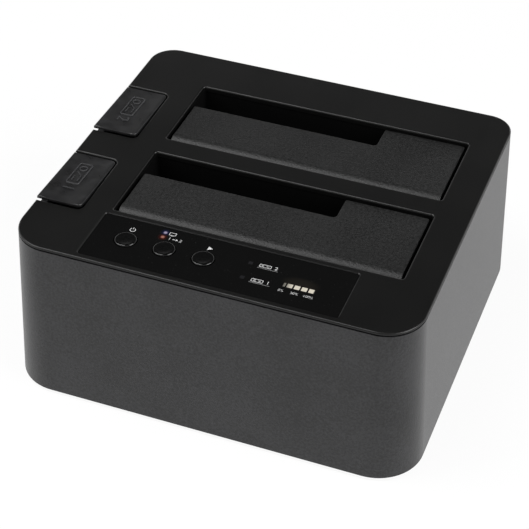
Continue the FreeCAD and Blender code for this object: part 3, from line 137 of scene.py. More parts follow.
class Finish:
    """One material with a Principled shader, or another node tree that is given. A socket's name is
    written with underscores, and its value is a constant or a Value."""

    def __init__(self, name, slot=None, tree=None, **inputs):
        if tree is None:
            self.material = bpy.data.materials.new(name)
            self.material.use_nodes = True
            tree = self.material.node_tree
            self.shader = tree.nodes["Principled BSDF"]
        self.tree = tree
        self.slot = slot or name
        self.set(**inputs)

    def set(self, **inputs):
        for socket, value in inputs.items():
            self.feed(self.shader.inputs[socket.replace("_", " ")], value)

    def feed(self, socket, value):
        if isinstance(value, Value):
            self.tree.links.new(value.socket, socket)
        else:
            socket.default_value = value

    def node(self, kind, settings=None, inputs=None, output=0):
        """Adds a node: its settings first, then a value or link for each socket."""
        node = self.tree.nodes.new(kind)
        for key, value in (settings or {}).items():
            setattr(node, key, value)
        for key, value in (inputs or {}).items():
            self.feed(node.inputs[key], value)
        return Value(self, node.outputs[output])

    def place(self, centre=(0, 0, 0), scale=(1, 1, 1)):
        """Object coordinates, measured from a centre and scaled along each axis."""
        coordinates = self.node("ShaderNodeTexCoord", output="Object")
        shift = [-c * s for c, s in zip(centre, scale)]
        inputs = {"Vector": coordinates, "Location": shift, "Scale": scale}
        return self.node("ShaderNodeMapping", {"vector_type": "POINT"}, inputs)

    def axes(self, centre=(0, 0, 0)):
        """The three coordinates as single values."""
        place = self.place(centre)
        return [self.node("ShaderNodeSeparateXYZ", inputs={0: place}, output=i) for i in range(3)]

    def away(self, centre):
        """Distance from an upright line through the centre."""
        x, y, _ = self.axes(centre)
        return (x ** 2.0 + y ** 2.0) ** 0.5

    def noise(self, grain, detail=2.0, place=None):
        """Cloudy noise whose lumps are about one grain across, in metres."""
        inputs = {"Vector": place or self.place(), "Scale": 1 / grain, "Detail": detail}
        return self.node("ShaderNodeTexNoise", inputs=inputs, output="Fac")

    def mix(self, factor, first, second):
        """Blend of two colours."""
        settings = {"data_type": "RGBA", "clamp_factor": True}
        return self.node("ShaderNodeMix", settings, {0: factor, 6: first, 7: second}, output=2)

    def bump(self, height, depth):
        """Relief of the given depth in metres."""
        return self.node("ShaderNodeBump", inputs={"Height": height, "Distance": depth, "Strength": 1.0})


def colour(r, g, b):
    return (r, g, b, 1.0)


def grey(level):
    return colour(level, level, level)


def shade(tone, by):
    """The same colour, lighter or darker by a factor."""
    return tuple(min(1.0, channel * by) for channel in tone[:3]) + (1.0,)


def middle_of(node):
    low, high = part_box(node)
    return (low + high) / 2


# ---- finishes ------------------------------------------------------------------------------
SPECK = 1.6                 # a moulding's tone specks against the lumps of its relief
CLOUD = 45                  # its clouds of tone, likewise
GAUGE_GLOW = (7.5 * MM, 3.6 * MM)   # reach of the gauge's light in the panel, along X and Y
GAUGE_GLOW_UP = 0.6 * MM    # its middle behind the gauge
HALO = (0.5 * MM, 2.1 * MM)         # a lamp's light in the panel: full inside the first, none past the second
LAMP_CORE = (0.3 * MM, 0.85 * MM)   # a lamp's pale core, likewise
BLUE_HALO = colour(0.003, 0.005, 0.03)
RED_HALO = colour(0.03, 0.003, 0.0015)
TRACK_PITCH = 2.1 * MM      # copper tracks of the boards
TRACK_WANDER = 4.0 * MM
SOFT_BLACK = grey(0.012)
STEEL = colour(0.45, 0.45, 0.46)


def moulded(name, tone, roughness, grain=0.0006, depth=0.00002, mottle=0.12, gloss=0.5):
    """Moulded plastic: spark-eroded grain in the relief, faint cloudy tone, slightly uneven gloss."""
    finish = Finish(name, IOR=1.49, Specular_IOR_Level=gloss)
    fine = finish.noise(grain, detail=3.0)
    speck = finish.noise(grain * SPECK, detail=1.0)
    cloud = finish.noise(grain * CLOUD, detail=2.0)
    tone_mix = (speck * 0.65 + cloud * 0.35).ramp(0.32, 0.68)
    finish.set(Base_Color=finish.mix(tone_mix, shade(tone, 1 - mottle), shade(tone, 1 + mottle)))
    finish.set(Roughness=roughness - 0.08 + speck * 0.12 + cloud * 0.04)
    finish.set(Normal=finish.bump(fine, depth))
    return finish


def satin_cover():
    """Near-black satin moulding: very fine grain and a few faint rub marks."""
    finish = Finish("cover_plastic", Specular_IOR_Level=0.36)
    fine = finish.noise(0.00035, detail=2.0)
    cloud = finish.noise(0.02, detail=3.0)
    rubbed = finish.noise(0.006, detail=5.0, place=finish.place(scale=(1, 0.25, 1))).ramp(0.58, 0.75)
    finish.set(Base_Color=finish.mix(cloud, grey(0.0022), colour(0.0042, 0.0042, 0.004)))
    finish.set(Roughness=0.3 + cloud * 0.05 + fine * 0.05 - rubbed * 0.03)
    finish.set(Normal=finish.bump(fine, 0.000006))
    return finish


def gloss_panel():
    """Black gloss overlay with dust specks, and light bleeding out round the gauge and the lamps."""
    finish = Finish("panel_gloss", Specular_IOR_Level=0.5, Coat_Roughness=0.04)
    smear = finish.noise(0.012, detail=3.0)
    dust = finish.noise(0.0005, detail=1.0).ramp(0.74, 0.8)
    finish.set(Base_Color=finish.mix(dust, grey(0.0035), grey(0.02)))
    finish.set(Roughness=0.11 + smear * 0.07 + dust * 0.2)
    gauge_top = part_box("gauge_light_pipe")[1]
    x, y, _ = finish.axes((middle_of("gauge_light_pipe").x, gauge_top.y, gauge_top.z))
    reach = ((x / GAUGE_GLOW[0]) ** 2.0 + ((y - GAUGE_GLOW_UP) / GAUGE_GLOW[1]) ** 2.0).ramp(0.0, 1.0)
    glow = finish.mix(reach, colour(0.0075, 0.006, 0.0042), grey(0))
    for node, tone in (("blue_light_pipe", BLUE_HALO), ("red_light_pipe", RED_HALO)):
        glow = finish.mix(finish.away(middle_of(node)).ramp(*HALO), tone, glow)
    finish.set(Emission_Color=glow, Emission_Strength=1.0)
    return finish


def metal(name, tone, roughness, grain=0.0002, along=(1, 1, 1), dulled=0.15):
    """Plated or drawn metal: fine grain, drawn out into lines by a small scale along an axis, and
    dulled patches."""
    finish = Finish(name, Metallic=1.0)
    lines = finish.noise(grain, detail=2.0, place=finish.place(scale=along))
    patches = finish.noise(0.003, detail=3.0)
    finish.set(Base_Color=finish.mix(patches, shade(tone, 1 - dulled), tone))
    finish.set(Roughness=roughness + (patches - 0.5) * 0.1 + (lines - 0.5) * 0.12)
    finish.set(Normal=finish.bump(lines, 0.000004))
    return finish


def rubber():
    """Foot rubber: matt, softly mottled."""
    return moulded("foot_rubber", grey(0.018), 0.78, grain=0.0008, mottle=0.2, gloss=0.3)


def circuit_board():
    """Solder mask over copper: parallel tracks that turn a little, and darker bare patches."""
    finish = Finish("board_green", Specular_IOR_Level=0.5)
    across = finish.axes()[0]
    wander = finish.noise(0.012, detail=1.0)
    tracks = ((across + wander * TRACK_WANDER) * (math.tau / TRACK_PITCH)).wave().ramp(0.1, 0.5)
    zones = finish.noise(0.016, detail=0.0).ramp(0.45, 0.5)
    copper = tracks * zones
    finish.set(Base_Color=finish.mix(copper, colour(0.008, 0.055, 0.026), colour(0.02, 0.12, 0.05)))
    finish.set(Roughness=0.32 + finish.noise(0.001) * 0.1)
    finish.set(Normal=finish.bump(copper, 0.00003))
    return finish


def lamp(name, node, tone, core):
    """Lit window: a small pale core that falls off to the lamp's own dark colour."""
    finish = Finish(name, Roughness=0.35)
    away = finish.away(middle_of(node)).ramp(*LAMP_CORE)
    finish.set(Base_Color=finish.mix(away, tone, shade(tone, 0.3)))
    finish.set(Emission_Color=finish.mix(away, core, tone), Emission_Strength=1.0)
    return finish


def gauge_windows():
    """Cream gauge steps: the first one dim, the last one lit over part of its width."""
    finish = Finish("window_cream", Roughness=0.4)
    low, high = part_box("gauge_light_pipe")
    along = finish.axes(low)[0] / (high.x - low.x)
    grain = finish.noise(0.0006)
    lit = (along.ramp(0.05, 0.35) * 0.8 + grain * 0.2) * (1.0 - along.ramp(0.93, 0.96))
    finish.set(Base_Color=colour(0.02, 0.019, 0.017))
    finish.set(Emission_Color=finish.mix(lit, colour(0.055, 0.052, 0.045), colour(0.7, 0.65, 0.54)))
    finish.set(Emission_Strength=1.0)
    return finish


def raised_mark():
    """Rocker plastic on the raised marks: fingers have polished them smoother, and their lighter tone is a
    painted highlight.
    """
    finish = Finish("rocker_mark_painted_highlight", slot="rocker_plastic", Specular_IOR_Level=0.6)
    polish_and_painted_sheen = finish.noise(0.0009, detail=2.0)
    # painted highlight: the marks are coloured lighter than the rocker plastic around them
    finish.set(Base_Color=finish.mix(polish_and_painted_sheen, colour(0.02, 0.02, 0.021), colour(0.06, 0.06, 0.063)))
    finish.set(Roughness=0.16 + polish_and_painted_sheen * 0.1)
    return finish


def ink(name, grain, thin, full):
    """White screen-printed ink whose cover varies slightly between two tones."""
    finish = Finish(name, slot="panel_gloss")
    patch = finish.noise(grain, detail=3.0)
    finish.set(Base_Color=finish.mix(patch.ramp(0.3, 0.7), grey(thin), grey(full)))
    finish.set(Roughness=0.5 + patch * 0.1)
    return finish


def finishes():
    """Every material slot of the record, then the raised marks and the two inks."""
    made = [
        moulded("shell_plastic", colour(0.0125, 0.0125, 0.0135), 0.35, grain=0.0005, depth=0.00008,
                mottle=0.6, gloss=0.44),
        satin_cover(),
        gloss_panel(),
        moulded("base_plastic", colour(0.02, 0.02, 0.021), 0.55),
        rubber(),
        metal("screw_steel", STEEL, 0.34),
        circuit_board(),
        metal("port_metal", colour(0.62, 0.62, 0.64), 0.24, along=(1, 0.1, 1)),
        moulded("tongue_plastic", colour(0.6, 0.6, 0.58), 0.45, depth=0.00001),
        moulded("jack_plastic", SOFT_BLACK, 0.4),
        metal("pin_metal", colour(0.65, 0.65, 0.66), 0.2),
        moulded("chip_black", colour(0.016, 0.016, 0.017), 0.6, grain=0.0003),
        metal("can_metal", colour(0.6, 0.6, 0.62), 0.3, along=(1, 1, 0.1)),
        moulded("switch_metal", grey(0.05), 0.4),
        moulded("window_dark", colour(0.012, 0.012, 0.013), 0.2, depth=0.000003),
        gauge_windows(),
        lamp("lamp_blue", "blue_light_pipe", colour(0.012, 0.013, 0.045), colour(0.31, 0.27, 0.35)),
        lamp("lamp_red", "red_light_pipe", colour(0.05, 0.007, 0.005), colour(0.28, 0.14, 0.11)),
        moulded("lamp_chip", colour(0.7, 0.68, 0.6), 0.4),
        moulded("header_plastic", SOFT_BLACK, 0.5),
        moulded("ribbon_grey", grey(0.36), 0.5, depth=0.00001),
        moulded("well_plastic", grey(0.0015), 0.7, gloss=0.1),
        metal("rod_steel", colour(0.5, 0.5, 0.52), 0.25, along=(0.1, 1, 1)),
        metal("spring_steel", STEEL, 0.3),
        moulded("flap_plastic", colour(0.0075, 0.0076, 0.0076), 0.46, grain=0.0006, depth=0.00016,
                mottle=0.6, gloss=0.44),
        moulded("rocker_plastic", colour(0.013, 0.013, 0.0135), 0.3, grain=0.0025, depth=0.00002, mottle=0.3),
        moulded("ejector_plastic", colour(0.015, 0.015, 0.016), 0.45),
        moulded("connector_plastic", grey(0.01), 0.45, depth=0.00001),
        metal("contact_gold", colour(0.75, 0.52, 0.2), 0.25),
        moulded("button_plastic", grey(0.0035), 0.16, grain=0.0005, depth=0.000002),
        moulded("plunger_plastic", colour(0.2, 0.02, 0.02), 0.4),
        raised_mark(),
        ink("printed_ink", 0.0004, 0.42, 0.7),
        ink("faint_ink", 0.0003, 0.06, 0.22),
    ]
    return {finish.material.name: finish for finish in made}


# ---- surfaces ------------------------------------------------------------------------------
ARCH_ACROSS = np.array([-0.5, -0.5, -0.34, 0.34, 0.5, 0.5])   # a raised line's section: shares of its width
ARCH_RISE = np.array([0.0, 0.6, 1.0, 1.0, 0.6, 0.0])          # and of its height
PLATE_SIDE = 0.6            # upright part of a flat shape's edge, as a share of its height


def mesh_object(name, points, faces):
    """An object at the origin from an array of points and a list of faces."""
    mesh = bpy.data.meshes.new(name)
    mesh.from_pydata(np.asarray(points, float).reshape(-1, 3).tolist(), [], [list(f) for f in faces])
    mesh.update()
    piece = bpy.data.objects.new(name, mesh)
    bpy.context.scene.collection.objects.link(piece)
    return piece


def grid_faces(rows, columns, round_rows, round_columns):
    """Quads between neighbouring points of a grid, joined round in either direction if asked."""
    r = np.arange(rows if round_rows else rows - 1)
    c = np.arange(columns if round_columns else columns - 1)
    r, c = np.meshgrid(r, c, indexing="ij")
    r1, c1 = (r + 1) % rows, (c + 1) % columns
    corners = [r * columns + c, r * columns + c1, r1 * columns + c1, r1 * columns + c]
    return np.stack(corners, -1).reshape(-1, 4)


def stroke(path, width, height, closed=False):
    """Raised line in the XY plane. At each path point a low arch, width across and height up, stands
    on the mitred side direction: point = path + side * across + up * rise. Ends are capped."""
    path = np.asarray(path, float)
    ahead = np.roll(path, -1, 0) - path
    behind = path - np.roll(path, 1, 0)
    if not closed:
        ahead[-1], behind[0] = behind[-1], ahead[0]
    ahead /= np.linalg.norm(ahead, axis=1, keepdims=True)
    behind /= np.linalg.norm(behind, axis=1, keepdims=True)
    sides = [np.stack([-d[:, 1], d[:, 0]], -1) for d in (behind, ahead)]
    mitre = (sides[0] + sides[1]) / (1 + np.sum(sides[0] * sides[1], 1, keepdims=True))
    across = ARCH_ACROSS * width
    rise = ARCH_RISE * height
    flat = path[:, None, :] + mitre[:, None, :] * across[None, :, None]
    points = np.concatenate([flat, np.broadcast_to(rise[None, :, None], flat.shape[:2] + (1,))], -1)
    count, ring = len(path), len(across)
    faces = [tuple(face) for face in grid_faces(count, ring, closed, True)]
    if not closed:
        faces += [tuple(range(ring))[::-1], tuple(range((count - 1) * ring, count * ring))]
    return points.reshape(-1, 3), faces


def plate(outline, height, bevel):
    """Filled flat shape: the outline at the foot and just below the top, then drawn in by the bevel."""
    outline = np.asarray(outline, float)
    middle = outline.mean(0)
    inward = 1 - bevel / np.linalg.norm(outline - middle, axis=1).mean()
    levels = [(1.0, 0.0), (1.0, PLATE_SIDE * height), (inward, height)]
    points = np.concatenate([np.column_stack([middle + (outline - middle) * s, np.full(len(outline), z)])
                             for s, z in levels])
    n = len(outline)
    faces = [tuple(face[::-1]) for face in grid_faces(len(levels), n, False, True)]
    return points, faces + [tuple(range(2 * n, 3 * n)), tuple(range(n))[::-1]]


def arc(radius, start, end, steps=24, centre=(0, 0)):
    """Points on a circle between two angles in degrees."""
    angle = np.radians(np.linspace(start, end, steps))
    return np.stack([centre[0] + radius * np.cos(angle), centre[1] + radius * np.sin(angle)], -1)


def rounded(width, depth, radius, steps=5):
    """Outline of a rectangle with round corners, about its middle."""
    half_w, half_d = width / 2 - radius, depth / 2 - radius
    corners = [(half_w, half_d, 0), (-half_w, half_d, 90), (-half_w, -half_d, 180), (half_w, -half_d, 270)]
    return np.concatenate([arc(radius, a, a + 90, steps, (x, y)) for x, y, a in corners])


def numeral(text, size, height, thin=0.0):
    """Plain figures as raised shapes, about their middle. A negative thin makes their lines lighter."""
    curve = bpy.data.curves.new("numeral", "FONT")
    curve.body = text
    curve.size = size
    curve.align_x = "CENTER"
    curve.align_y = "CENTER"
    curve.extrude = height / 2
    curve.offset = thin * size
    curve.resolution_u = 4
    holder = bpy.data.objects.new("numeral", curve)
    bpy.context.scene.collection.objects.link(holder)
    bpy.context.view_layer.update()
    mesh = bpy.data.meshes.new_from_object(holder)
    points = np.zeros(len(mesh.vertices) * 3)
    mesh.vertices.foreach_get("co", points)
    faces = [tuple(face.vertices) for face in mesh.polygons]
    bpy.data.objects.remove(holder)
    bpy.data.meshes.remove(mesh)
    points = points.reshape(-1, 3)
    points[:, 2] += height / 2
    return points, faces


def moved(shape, x=0.0, y=0.0, turn=0.0):
    """A shape turned about Z by an angle in degrees and shifted in its plane."""
    points, faces = shape
    c, s = math.cos(math.radians(turn)), math.sin(math.radians(turn))
    spin = np.array([[c, s, 0], [-s, c, 0], [0, 0, 1]])
    return points @ spin + np.array([x, y, 0.0]), faces


def lifted(shape, z):
    points, faces = shape
    return points + np.array([0, 0, z]), faces


def together(shapes):
    """Several shapes as one list of points and faces."""
    points, faces, count = [], [], 0
    for shape_points, shape_faces in shapes:
        points.append(shape_points)
        faces += [tuple(i + count for i in face) for face in shape_faces]
        count += len(shape_points)
    return np.concatenate(points), faces


def outward(piece):
    """Turns the faces of closed shapes so that they point out."""
    work = bmesh.new()
    work.from_mesh(piece.data)
    bmesh.ops.recalc_face_normals(work, faces=work.faces)
    work.to_mesh(piece.data)
    work.free()
    return piece


def finished(name, shape, material, smooth=False):
    """A closed shape as an object with its finish."""
    piece = outward(mesh_object(name, *shape))
    piece.data.materials.append(FINISHES[material].material)
    piece.data.polygons.foreach_set("use_smooth", [smooth] * len(piece.data.polygons))
    return piece


def add_piece(name, shape, material, body):
    """A piece that moves with a body."""
    piece = finished(name, shape, material)
    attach(piece, body)
    return piece


# ---- marks on the control panel --------------------------------------------------------------
INK = 0.02 * MM             # thickness of the print
LINE = 0.24 * MM            # width of its lines
THIN_LINE = 0.2 * MM
LABEL_UP = 5.9 * MM         # label behind its button's middle
DRIVE_MARK_X = 6.9 * MM     # drive mark from the left edge of the drive windows
UNDERLINE = (3.5 * MM, 10.8 * MM)   # its line's two ends, likewise
UNDERLINE_DOWN = 1.3 * MM
SCALE_DOWN = 1.75 * MM      # figures in front of the gauge
SCALE = (("0%", 0.05), ("50%", 0.45), ("100%", 0.86))   # and their places along it


def power_mark():
    """Broken ring with an upright stroke."""
    ring = stroke(arc(0.95 * MM, 125, 415, 30), LINE, INK)
    bar = stroke([(0, 0.25 * MM), (0, 1.25 * MM)], LINE, INK)
    return together([ring, bar])


def start_mark():
    """Arrowhead that points right."""
    return plate([(-0.75 * MM, -0.95 * MM), (0.95 * MM, 0.0), (-0.75 * MM, 0.95 * MM)], INK, 0.05 * MM)


def computer_mark():
    """Screen on a foot."""
    screen = stroke(rounded(2.3 * MM, 1.35 * MM, 0.2 * MM), THIN_LINE, INK, closed=True)
    foot = stroke([(-0.55 * MM, -1.0 * MM), (0.55 * MM, -1.0 * MM)], THIN_LINE, INK)
    return together([screen, foot])


def copy_mark():
    """Figure 1, an arrow, figure 2."""
    shaft = stroke([(-0.9 * MM, 0), (0.5 * MM, 0)], 0.22 * MM, INK)
    head = plate([(0.4 * MM, -0.5 * MM), (1.15 * MM, 0), (0.4 * MM, 0.5 * MM)], INK, 0.03 * MM)
    one = moved(numeral("1", 1.9 * MM, INK), -1.9 * MM)
    two = moved(numeral("2", 1.9 * MM, INK), 2.1 * MM)
    return together([shaft, head, one, two])


def drive_mark(figure):
    """Drive case with a spindle, and its number."""
    case = stroke(rounded(4.0 * MM, 1.35 * MM, 0.25 * MM), THIN_LINE, INK, closed=True)
    spindle = stroke(arc(0.3 * MM, 0, 345, 16, (-0.9 * MM, 0)), 0.16 * MM, INK, closed=True)
    slot = stroke([(0.4 * MM, 0), (1.3 * MM, 0)], 0.18 * MM, INK)
    number = moved(numeral(figure, 2.3 * MM, INK), 2.9 * MM)
    return together([moved(together([case, spindle, slot]), -0.9 * MM), number])


def panel_marks():
    """Every printed mark, placed from the buttons and windows that it belongs to."""
    power, start = (middle_of(f"{name}_button") for name in ("power", "start"))
    blue, red = middle_of("blue_light_pipe"), middle_of("red_light_pipe")
    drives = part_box("drive_light_pipes")
    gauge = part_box("gauge_light_pipe")
    marks = [
        moved(power_mark(), power.x, power.y + LABEL_UP),
        moved(start_mark(), start.x + 0.2 * MM, start.y + LABEL_UP),
        moved(computer_mark(), blue.x + 2.7 * MM, blue.y),
        moved(copy_mark(), red.x + 4.5 * MM, red.y - 0.1 * MM),
    ]
    lines = []
    window_half = red.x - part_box("red_light_pipe")[0].x
    for figure, y in (("1", drives[0].y + window_half), ("2", drives[1].y - window_half)):
        marks.append(moved(drive_mark(figure), drives[0].x + DRIVE_MARK_X, y))
        ends = [(drives[0].x + x, y - UNDERLINE_DOWN) for x in UNDERLINE]
        lines.append(stroke(ends, 0.26 * MM, INK))
    for figure, share in SCALE:
        x = gauge[0].x + share * (gauge[1].x - gauge[0].x)
        marks.append(moved(numeral(figure, 1.6 * MM, INK, thin=-0.012), x, gauge[0].y - SCALE_DOWN))
    return together(marks), together(lines)


def dress_panel():
    """Marks and the fainter lines under the drive marks."""
    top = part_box("control_panel")[1].z
    marks, lines = panel_marks()
    add_piece("panel_marks", lifted(marks, top), "printed_ink", "housing")
    add_piece("panel_underlines", lifted(lines, top), "faint_ink", "housing")


# ---- raised marks on the eject rockers -------------------------------------------------------
PAD_WIDTH = 16.8 * MM       # pad of a rocker
PAD_LENGTH = 29.8 * MM
PAD_FRONT_RISE = 0.85 * MM  # its front end above the cover
PAD_REAR_SINK = 0.25 * MM   # its rear end below the cover
PAD_TROUGH_R = 120.0 * MM   # shallow trough along it
PAD_RIM = 1.2 * MM          # level rim beside the trough
EMBOSS = 0.28 * MM          # raised marks above the pad
EMBOSS_SINK = 0.15 * MM     # and their foot below it
EMBOSS_LINE = 0.45 * MM


def middle_of_pad(node):
    """Middle of the pad, seen from above: its left and front edges are the rocker's own."""
    low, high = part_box(node)
    return Vector((low.x + PAD_WIDTH / 2, low.y + PAD_LENGTH / 2, high.z))


def on_pad(shape, node):
    """Lays a flat shape on a rocker's pad: height = middle - tilt * y - hollow(x), where the hollow is
    a round trough that ends at the rim."""
    points, faces = shape
    cover_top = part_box("top_cover")[1].z
    x, y, z = points.T      # measured from the pad's middle
    hollow = (PAD_WIDTH - 2 * PAD_RIM) ** 2 / (8 * PAD_TROUGH_R) - x ** 2 / (2 * PAD_TROUGH_R)
    tilt = (PAD_FRONT_RISE + PAD_REAR_SINK) / PAD_LENGTH
    height = cover_top + (PAD_FRONT_RISE - PAD_REAR_SINK) / 2 - tilt * y - np.maximum(hollow, 0)
    centre = middle_of_pad(node)
    return np.column_stack([x + centre.x, y + centre.y, height + z]), faces


def eject_mark(figure):
    """Drive case with its disc and arm, then the bay's number, to be read from the left side."""
    rise = EMBOSS + EMBOSS_SINK
    case = stroke(rounded(12.6 * MM, 4.8 * MM, 0.8 * MM), 0.5 * MM, rise, closed=True)
    disc = stroke(arc(1.35 * MM, 0, 348, 24, (-3.4 * MM, 0)), EMBOSS_LINE, rise, closed=True)
    arm = stroke([(-1.0 * MM, -1.1 * MM), (1.2 * MM, 1.1 * MM), (4.6 * MM, 1.1 * MM)], EMBOSS_LINE, rise)
    foot = stroke([(1.6 * MM, -1.1 * MM), (4.6 * MM, -1.1 * MM)], EMBOSS_LINE, rise)
    number = moved(numeral(figure, 6.4 * MM, rise), 9.4 * MM)
    mark = lifted(together([case, disc, arm, foot, number]), -EMBOSS_SINK)
    return moved(mark, -0.6 * MM, 2.9 * MM, turn=-90)


def dress_rockers():
    for bay, figure in (("front", "1"), ("rear", "2")):
        node = f"eject_rocker_{bay}"
        add_piece(f"eject_mark_{bay}", on_pad(eject_mark(figure), node), "rocker_mark_painted_highlight", f"rocker_{bay}")


# ---- springs ---------------------------------------------------------------------------------
SPRING_WIRE_R = 0.25 * MM
FLAP_COIL_R = 1.65 * MM     # wire's middle from the axis of the flap's rod
FLAP_COIL_TURNS = 3
FLAP_ARM = (10.56 * MM, 3.07 * MM)   # one leg: reach under the flap, and rise
FLAP_TAIL = 4.8 * MM        # the other leg, to the well's front wall
EJECT_COIL_TURNS = 5
STEPS_A_TURN = 24


def wire(path, axis, sides=8):
    """Round wire along a path that is nowhere parallel to the axis:
    point = path + radius * (cos(a) * across + sin(a) * up), where across = axis x direction and
    up = direction x across. Ends are capped."""
    path = np.asarray(path, float)
    direction = np.gradient(path, axis=0)
    direction /= np.linalg.norm(direction, axis=1, keepdims=True)
    across = np.cross(axis, direction)
    across /= np.linalg.norm(across, axis=1, keepdims=True)
    up = np.cross(direction, across)
    angle = np.linspace(0, math.tau, sides, endpoint=False)[None, :, None]
    around = np.cos(angle) * across[:, None] + np.sin(angle) * up[:, None]
    points = path[:, None] + SPRING_WIRE_R * around
    faces = [tuple(face) for face in grid_faces(len(path), sides, False, True)]
    faces += [tuple(range(sides))[::-1], tuple(range((len(path) - 1) * sides, len(path) * sides))]
    return points.reshape(-1, 3), faces


def joint_row(name):
    """The record's row of a joint."""
    return next(row for row in frame["record"]["behaviour"]["joints"] if row["name"] == name)


def steel_piece(node, shape):
    """A spring that stands for its CAD node."""
    piece = finished(f"{node}_wire", shape, "spring_steel", smooth=True)
    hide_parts(node)
    return piece


def flap_spring(bay):
    """Torsion spring: a leg under the flap, turns round the rod, a leg to the well's front wall."""
    node, flap = f"flap_spring_{bay}", f"flap_{bay}"
    low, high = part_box(node)
    _, y, z = joint_row(f"{flap}_hinge")["pos_m"]
    first, last = low.x + SPRING_WIRE_R, high.x - SPRING_WIRE_R
    turn = np.linspace(0, math.tau * FLAP_COIL_TURNS, STEPS_A_TURN * FLAP_COIL_TURNS + 1)
    coil = np.column_stack([first + (last - first) * turn / turn[-1],
                            y - FLAP_COIL_R * np.sin(turn), z - FLAP_COIL_R * np.cos(turn)])
    reach, rise = FLAP_ARM
    arm = [(first, y + reach * share, z - FLAP_COIL_R + rise * share) for share in (1.0, 0.05)]
    tail = [(last, y - FLAP_TAIL * share, z - FLAP_COIL_R) for share in (0.1, 1.0)]
    piece = steel_piece(node, wire(np.concatenate([arm, coil, tail]), (1, 0, 0)))
    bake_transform(piece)


def eject_spring(bay):
    """Compression spring: evenly spaced turns from the foot to the top of its node's box, fixed to the
    housing.
    """
    node, slide = f"eject_spring_{bay}", f"ejector_{bay}_slide"
    low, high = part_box(node)
    centre = middle_of(node)
    radius = (high.x - low.x) / 2 - SPRING_WIRE_R
    turn = np.linspace(0, math.tau * EJECT_COIL_TURNS, STEPS_A_TURN * EJECT_COIL_TURNS + 1)
    coil = np.column_stack([centre.x + radius * np.cos(turn), centre.y + radius * np.sin(turn),
                            np.linspace(low.z + SPRING_WIRE_R, high.z - SPRING_WIRE_R, len(turn))])
    piece = steel_piece(node, wire(coil, (0, 0, 1)))
    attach(piece, "housing")
    lift = joint_row(slide)["range_m"][1]
    1 - lift / (high.z - low.z)
    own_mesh(piece)


def dress_springs():
    for bay in ("front", "rear"):
        flap_spring(bay)
        eject_spring(bay)


# ---- studio ----------------------------------------------------------------------------------
VIEW_AZIMUTH = 20.44        # degrees, from the front towards the right
VIEW_ELEVATION = 39.42
VIEW_ROLL = 0.45
VIEW_DISTANCE = 0.585
VIEW_LENS = 109.67          # millimetres, behind a sensor 36 wide
VIEW_TARGET = Vector((1.37, -9.84, 33.0)) * MM
FLOOR_HALF = 4.0
FLOOR_SHOWN = 0.92          # share of plain white in what the camera and mirrors see of the floor


def camera():
    az, el, roll = (math.radians(a) for a in (VIEW_AZIMUTH, VIEW_ELEVATION, VIEW_ROLL))
    back = Vector((math.sin(az) * math.cos(el), -math.cos(az) * math.cos(el), math.sin(el)))
    right = Vector((0, 0, 1)).cross(back).normalized()
    up = back.cross(right)
    across = math.cos(roll) * right + math.sin(roll) * up
    above = -math.sin(roll) * right + math.cos(roll) * up
    data = bpy.data.cameras.new("camera")
    data.lens = VIEW_LENS
    data.sensor_width = 36.0
    data.clip_start = 0.01
    data.clip_end = 50.0
    holder = bpy.data.objects.new("camera", data)
    bpy.context.scene.collection.objects.link(holder)
    turn = Matrix((across, above, back)).transposed().to_4x4()
    holder.matrix_world = Matrix.Translation(VIEW_TARGET + back * VIEW_DISTANCE) @ turn
    bpy.context.scene.camera = holder


def softbox(name, place, width, height, power):
    """Rectangular area light of a power in watts that faces the object's middle."""
    data = bpy.data.lights.new(name, "AREA")
    data.shape = "RECTANGLE"
    data.size = width
    data.size_y = height
    data.energy = power
    holder = bpy.data.objects.new(name, data)
    bpy.context.scene.collection.objects.link(holder)
    aim = MIDDLE - Vector(place)
    holder.matrix_world = Matrix.Translation(place) @ aim.to_track_quat("-Z", "Y").to_matrix().to_4x4()


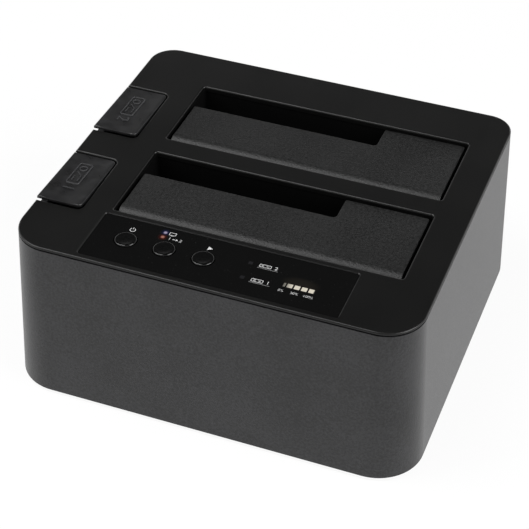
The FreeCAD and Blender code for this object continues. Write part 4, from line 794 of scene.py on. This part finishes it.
def white_floor():
    """Pale floor that looks white itself and in reflections, and keeps part of the shadow."""
    size, level = FLOOR_HALF, cad_box[0][2]
    points = [(-size, -size, level), (size, -size, level), (size, size, level), (-size, size, level)]
    floor = mesh_object("floor", points, [(0, 1, 2, 3)])
    finish = Finish("floor_white")
    finish.tree.nodes.remove(finish.shader)
    seen = finish.node("ShaderNodeLightPath", output="Is Camera Ray")
    mirrored = finish.node("ShaderNodeLightPath", output="Is Glossy Ray")
    through = finish.node("ShaderNodeLightPath", output="Is Transmission Ray")
    shown = (seen + mirrored + through).least(1.0)
    paper = finish.node("ShaderNodeBsdfDiffuse", inputs={"Color": grey(0.9)})
    glow = finish.node("ShaderNodeEmission", inputs={"Color": grey(1), "Strength": 1.0})
    mixed = finish.node("ShaderNodeMixShader", inputs={0: shown * FLOOR_SHOWN, 1: paper, 2: glow})
    finish.feed(finish.tree.nodes["Material Output"].inputs["Surface"], mixed)
    floor.data.materials.append(finish.material)


def world():
    """Studio surroundings: pale near the floor, dark overhead."""
    surroundings = bpy.data.worlds.new("studio")
    surroundings.use_nodes = True
    bpy.context.scene.world = surroundings
    finish = Finish("studio", tree=surroundings.node_tree)
    direction = finish.node("ShaderNodeTexCoord", output="Generated")
    height = finish.node("ShaderNodeSeparateXYZ", inputs={0: direction}, output=2)
    tone = finish.mix(height.ramp(0.15, 0.5), grey(1), grey(0.024))
    background = surroundings.node_tree.nodes["Background"]
    finish.feed(background.inputs["Color"], tone)
    background.inputs["Strength"].default_value = 1.0


def studio():
    camera()
    white_floor()
    world()
    softbox("key_left", (-0.85, -0.35, 0.9), 0.7, 0.7, 8.0)
    softbox("key_right", (0.95, -0.13, 0.75), 0.8, 0.8, 13.0)
    softbox("strip_above", (-0.27, -0.18, 1.0), 0.6, 0.3, 4.2)
    bpy.context.scene.view_settings.view_transform = "Standard"


# ---- assembly --------------------------------------------------------------------------------
FINISHES = finishes()


def paint_nodes():
    """Each CAD node takes the finish of its slot in the record."""
    for part in frame["record"]["subparts"]:
        node = frame["nodes"][part["node"]]
        node.data.materials.clear()
        node.data.materials.append(FINISHES[part["material_slot"]].material)


studio()
paint_nodes()
dress_panel()
dress_rockers()
dress_springs()
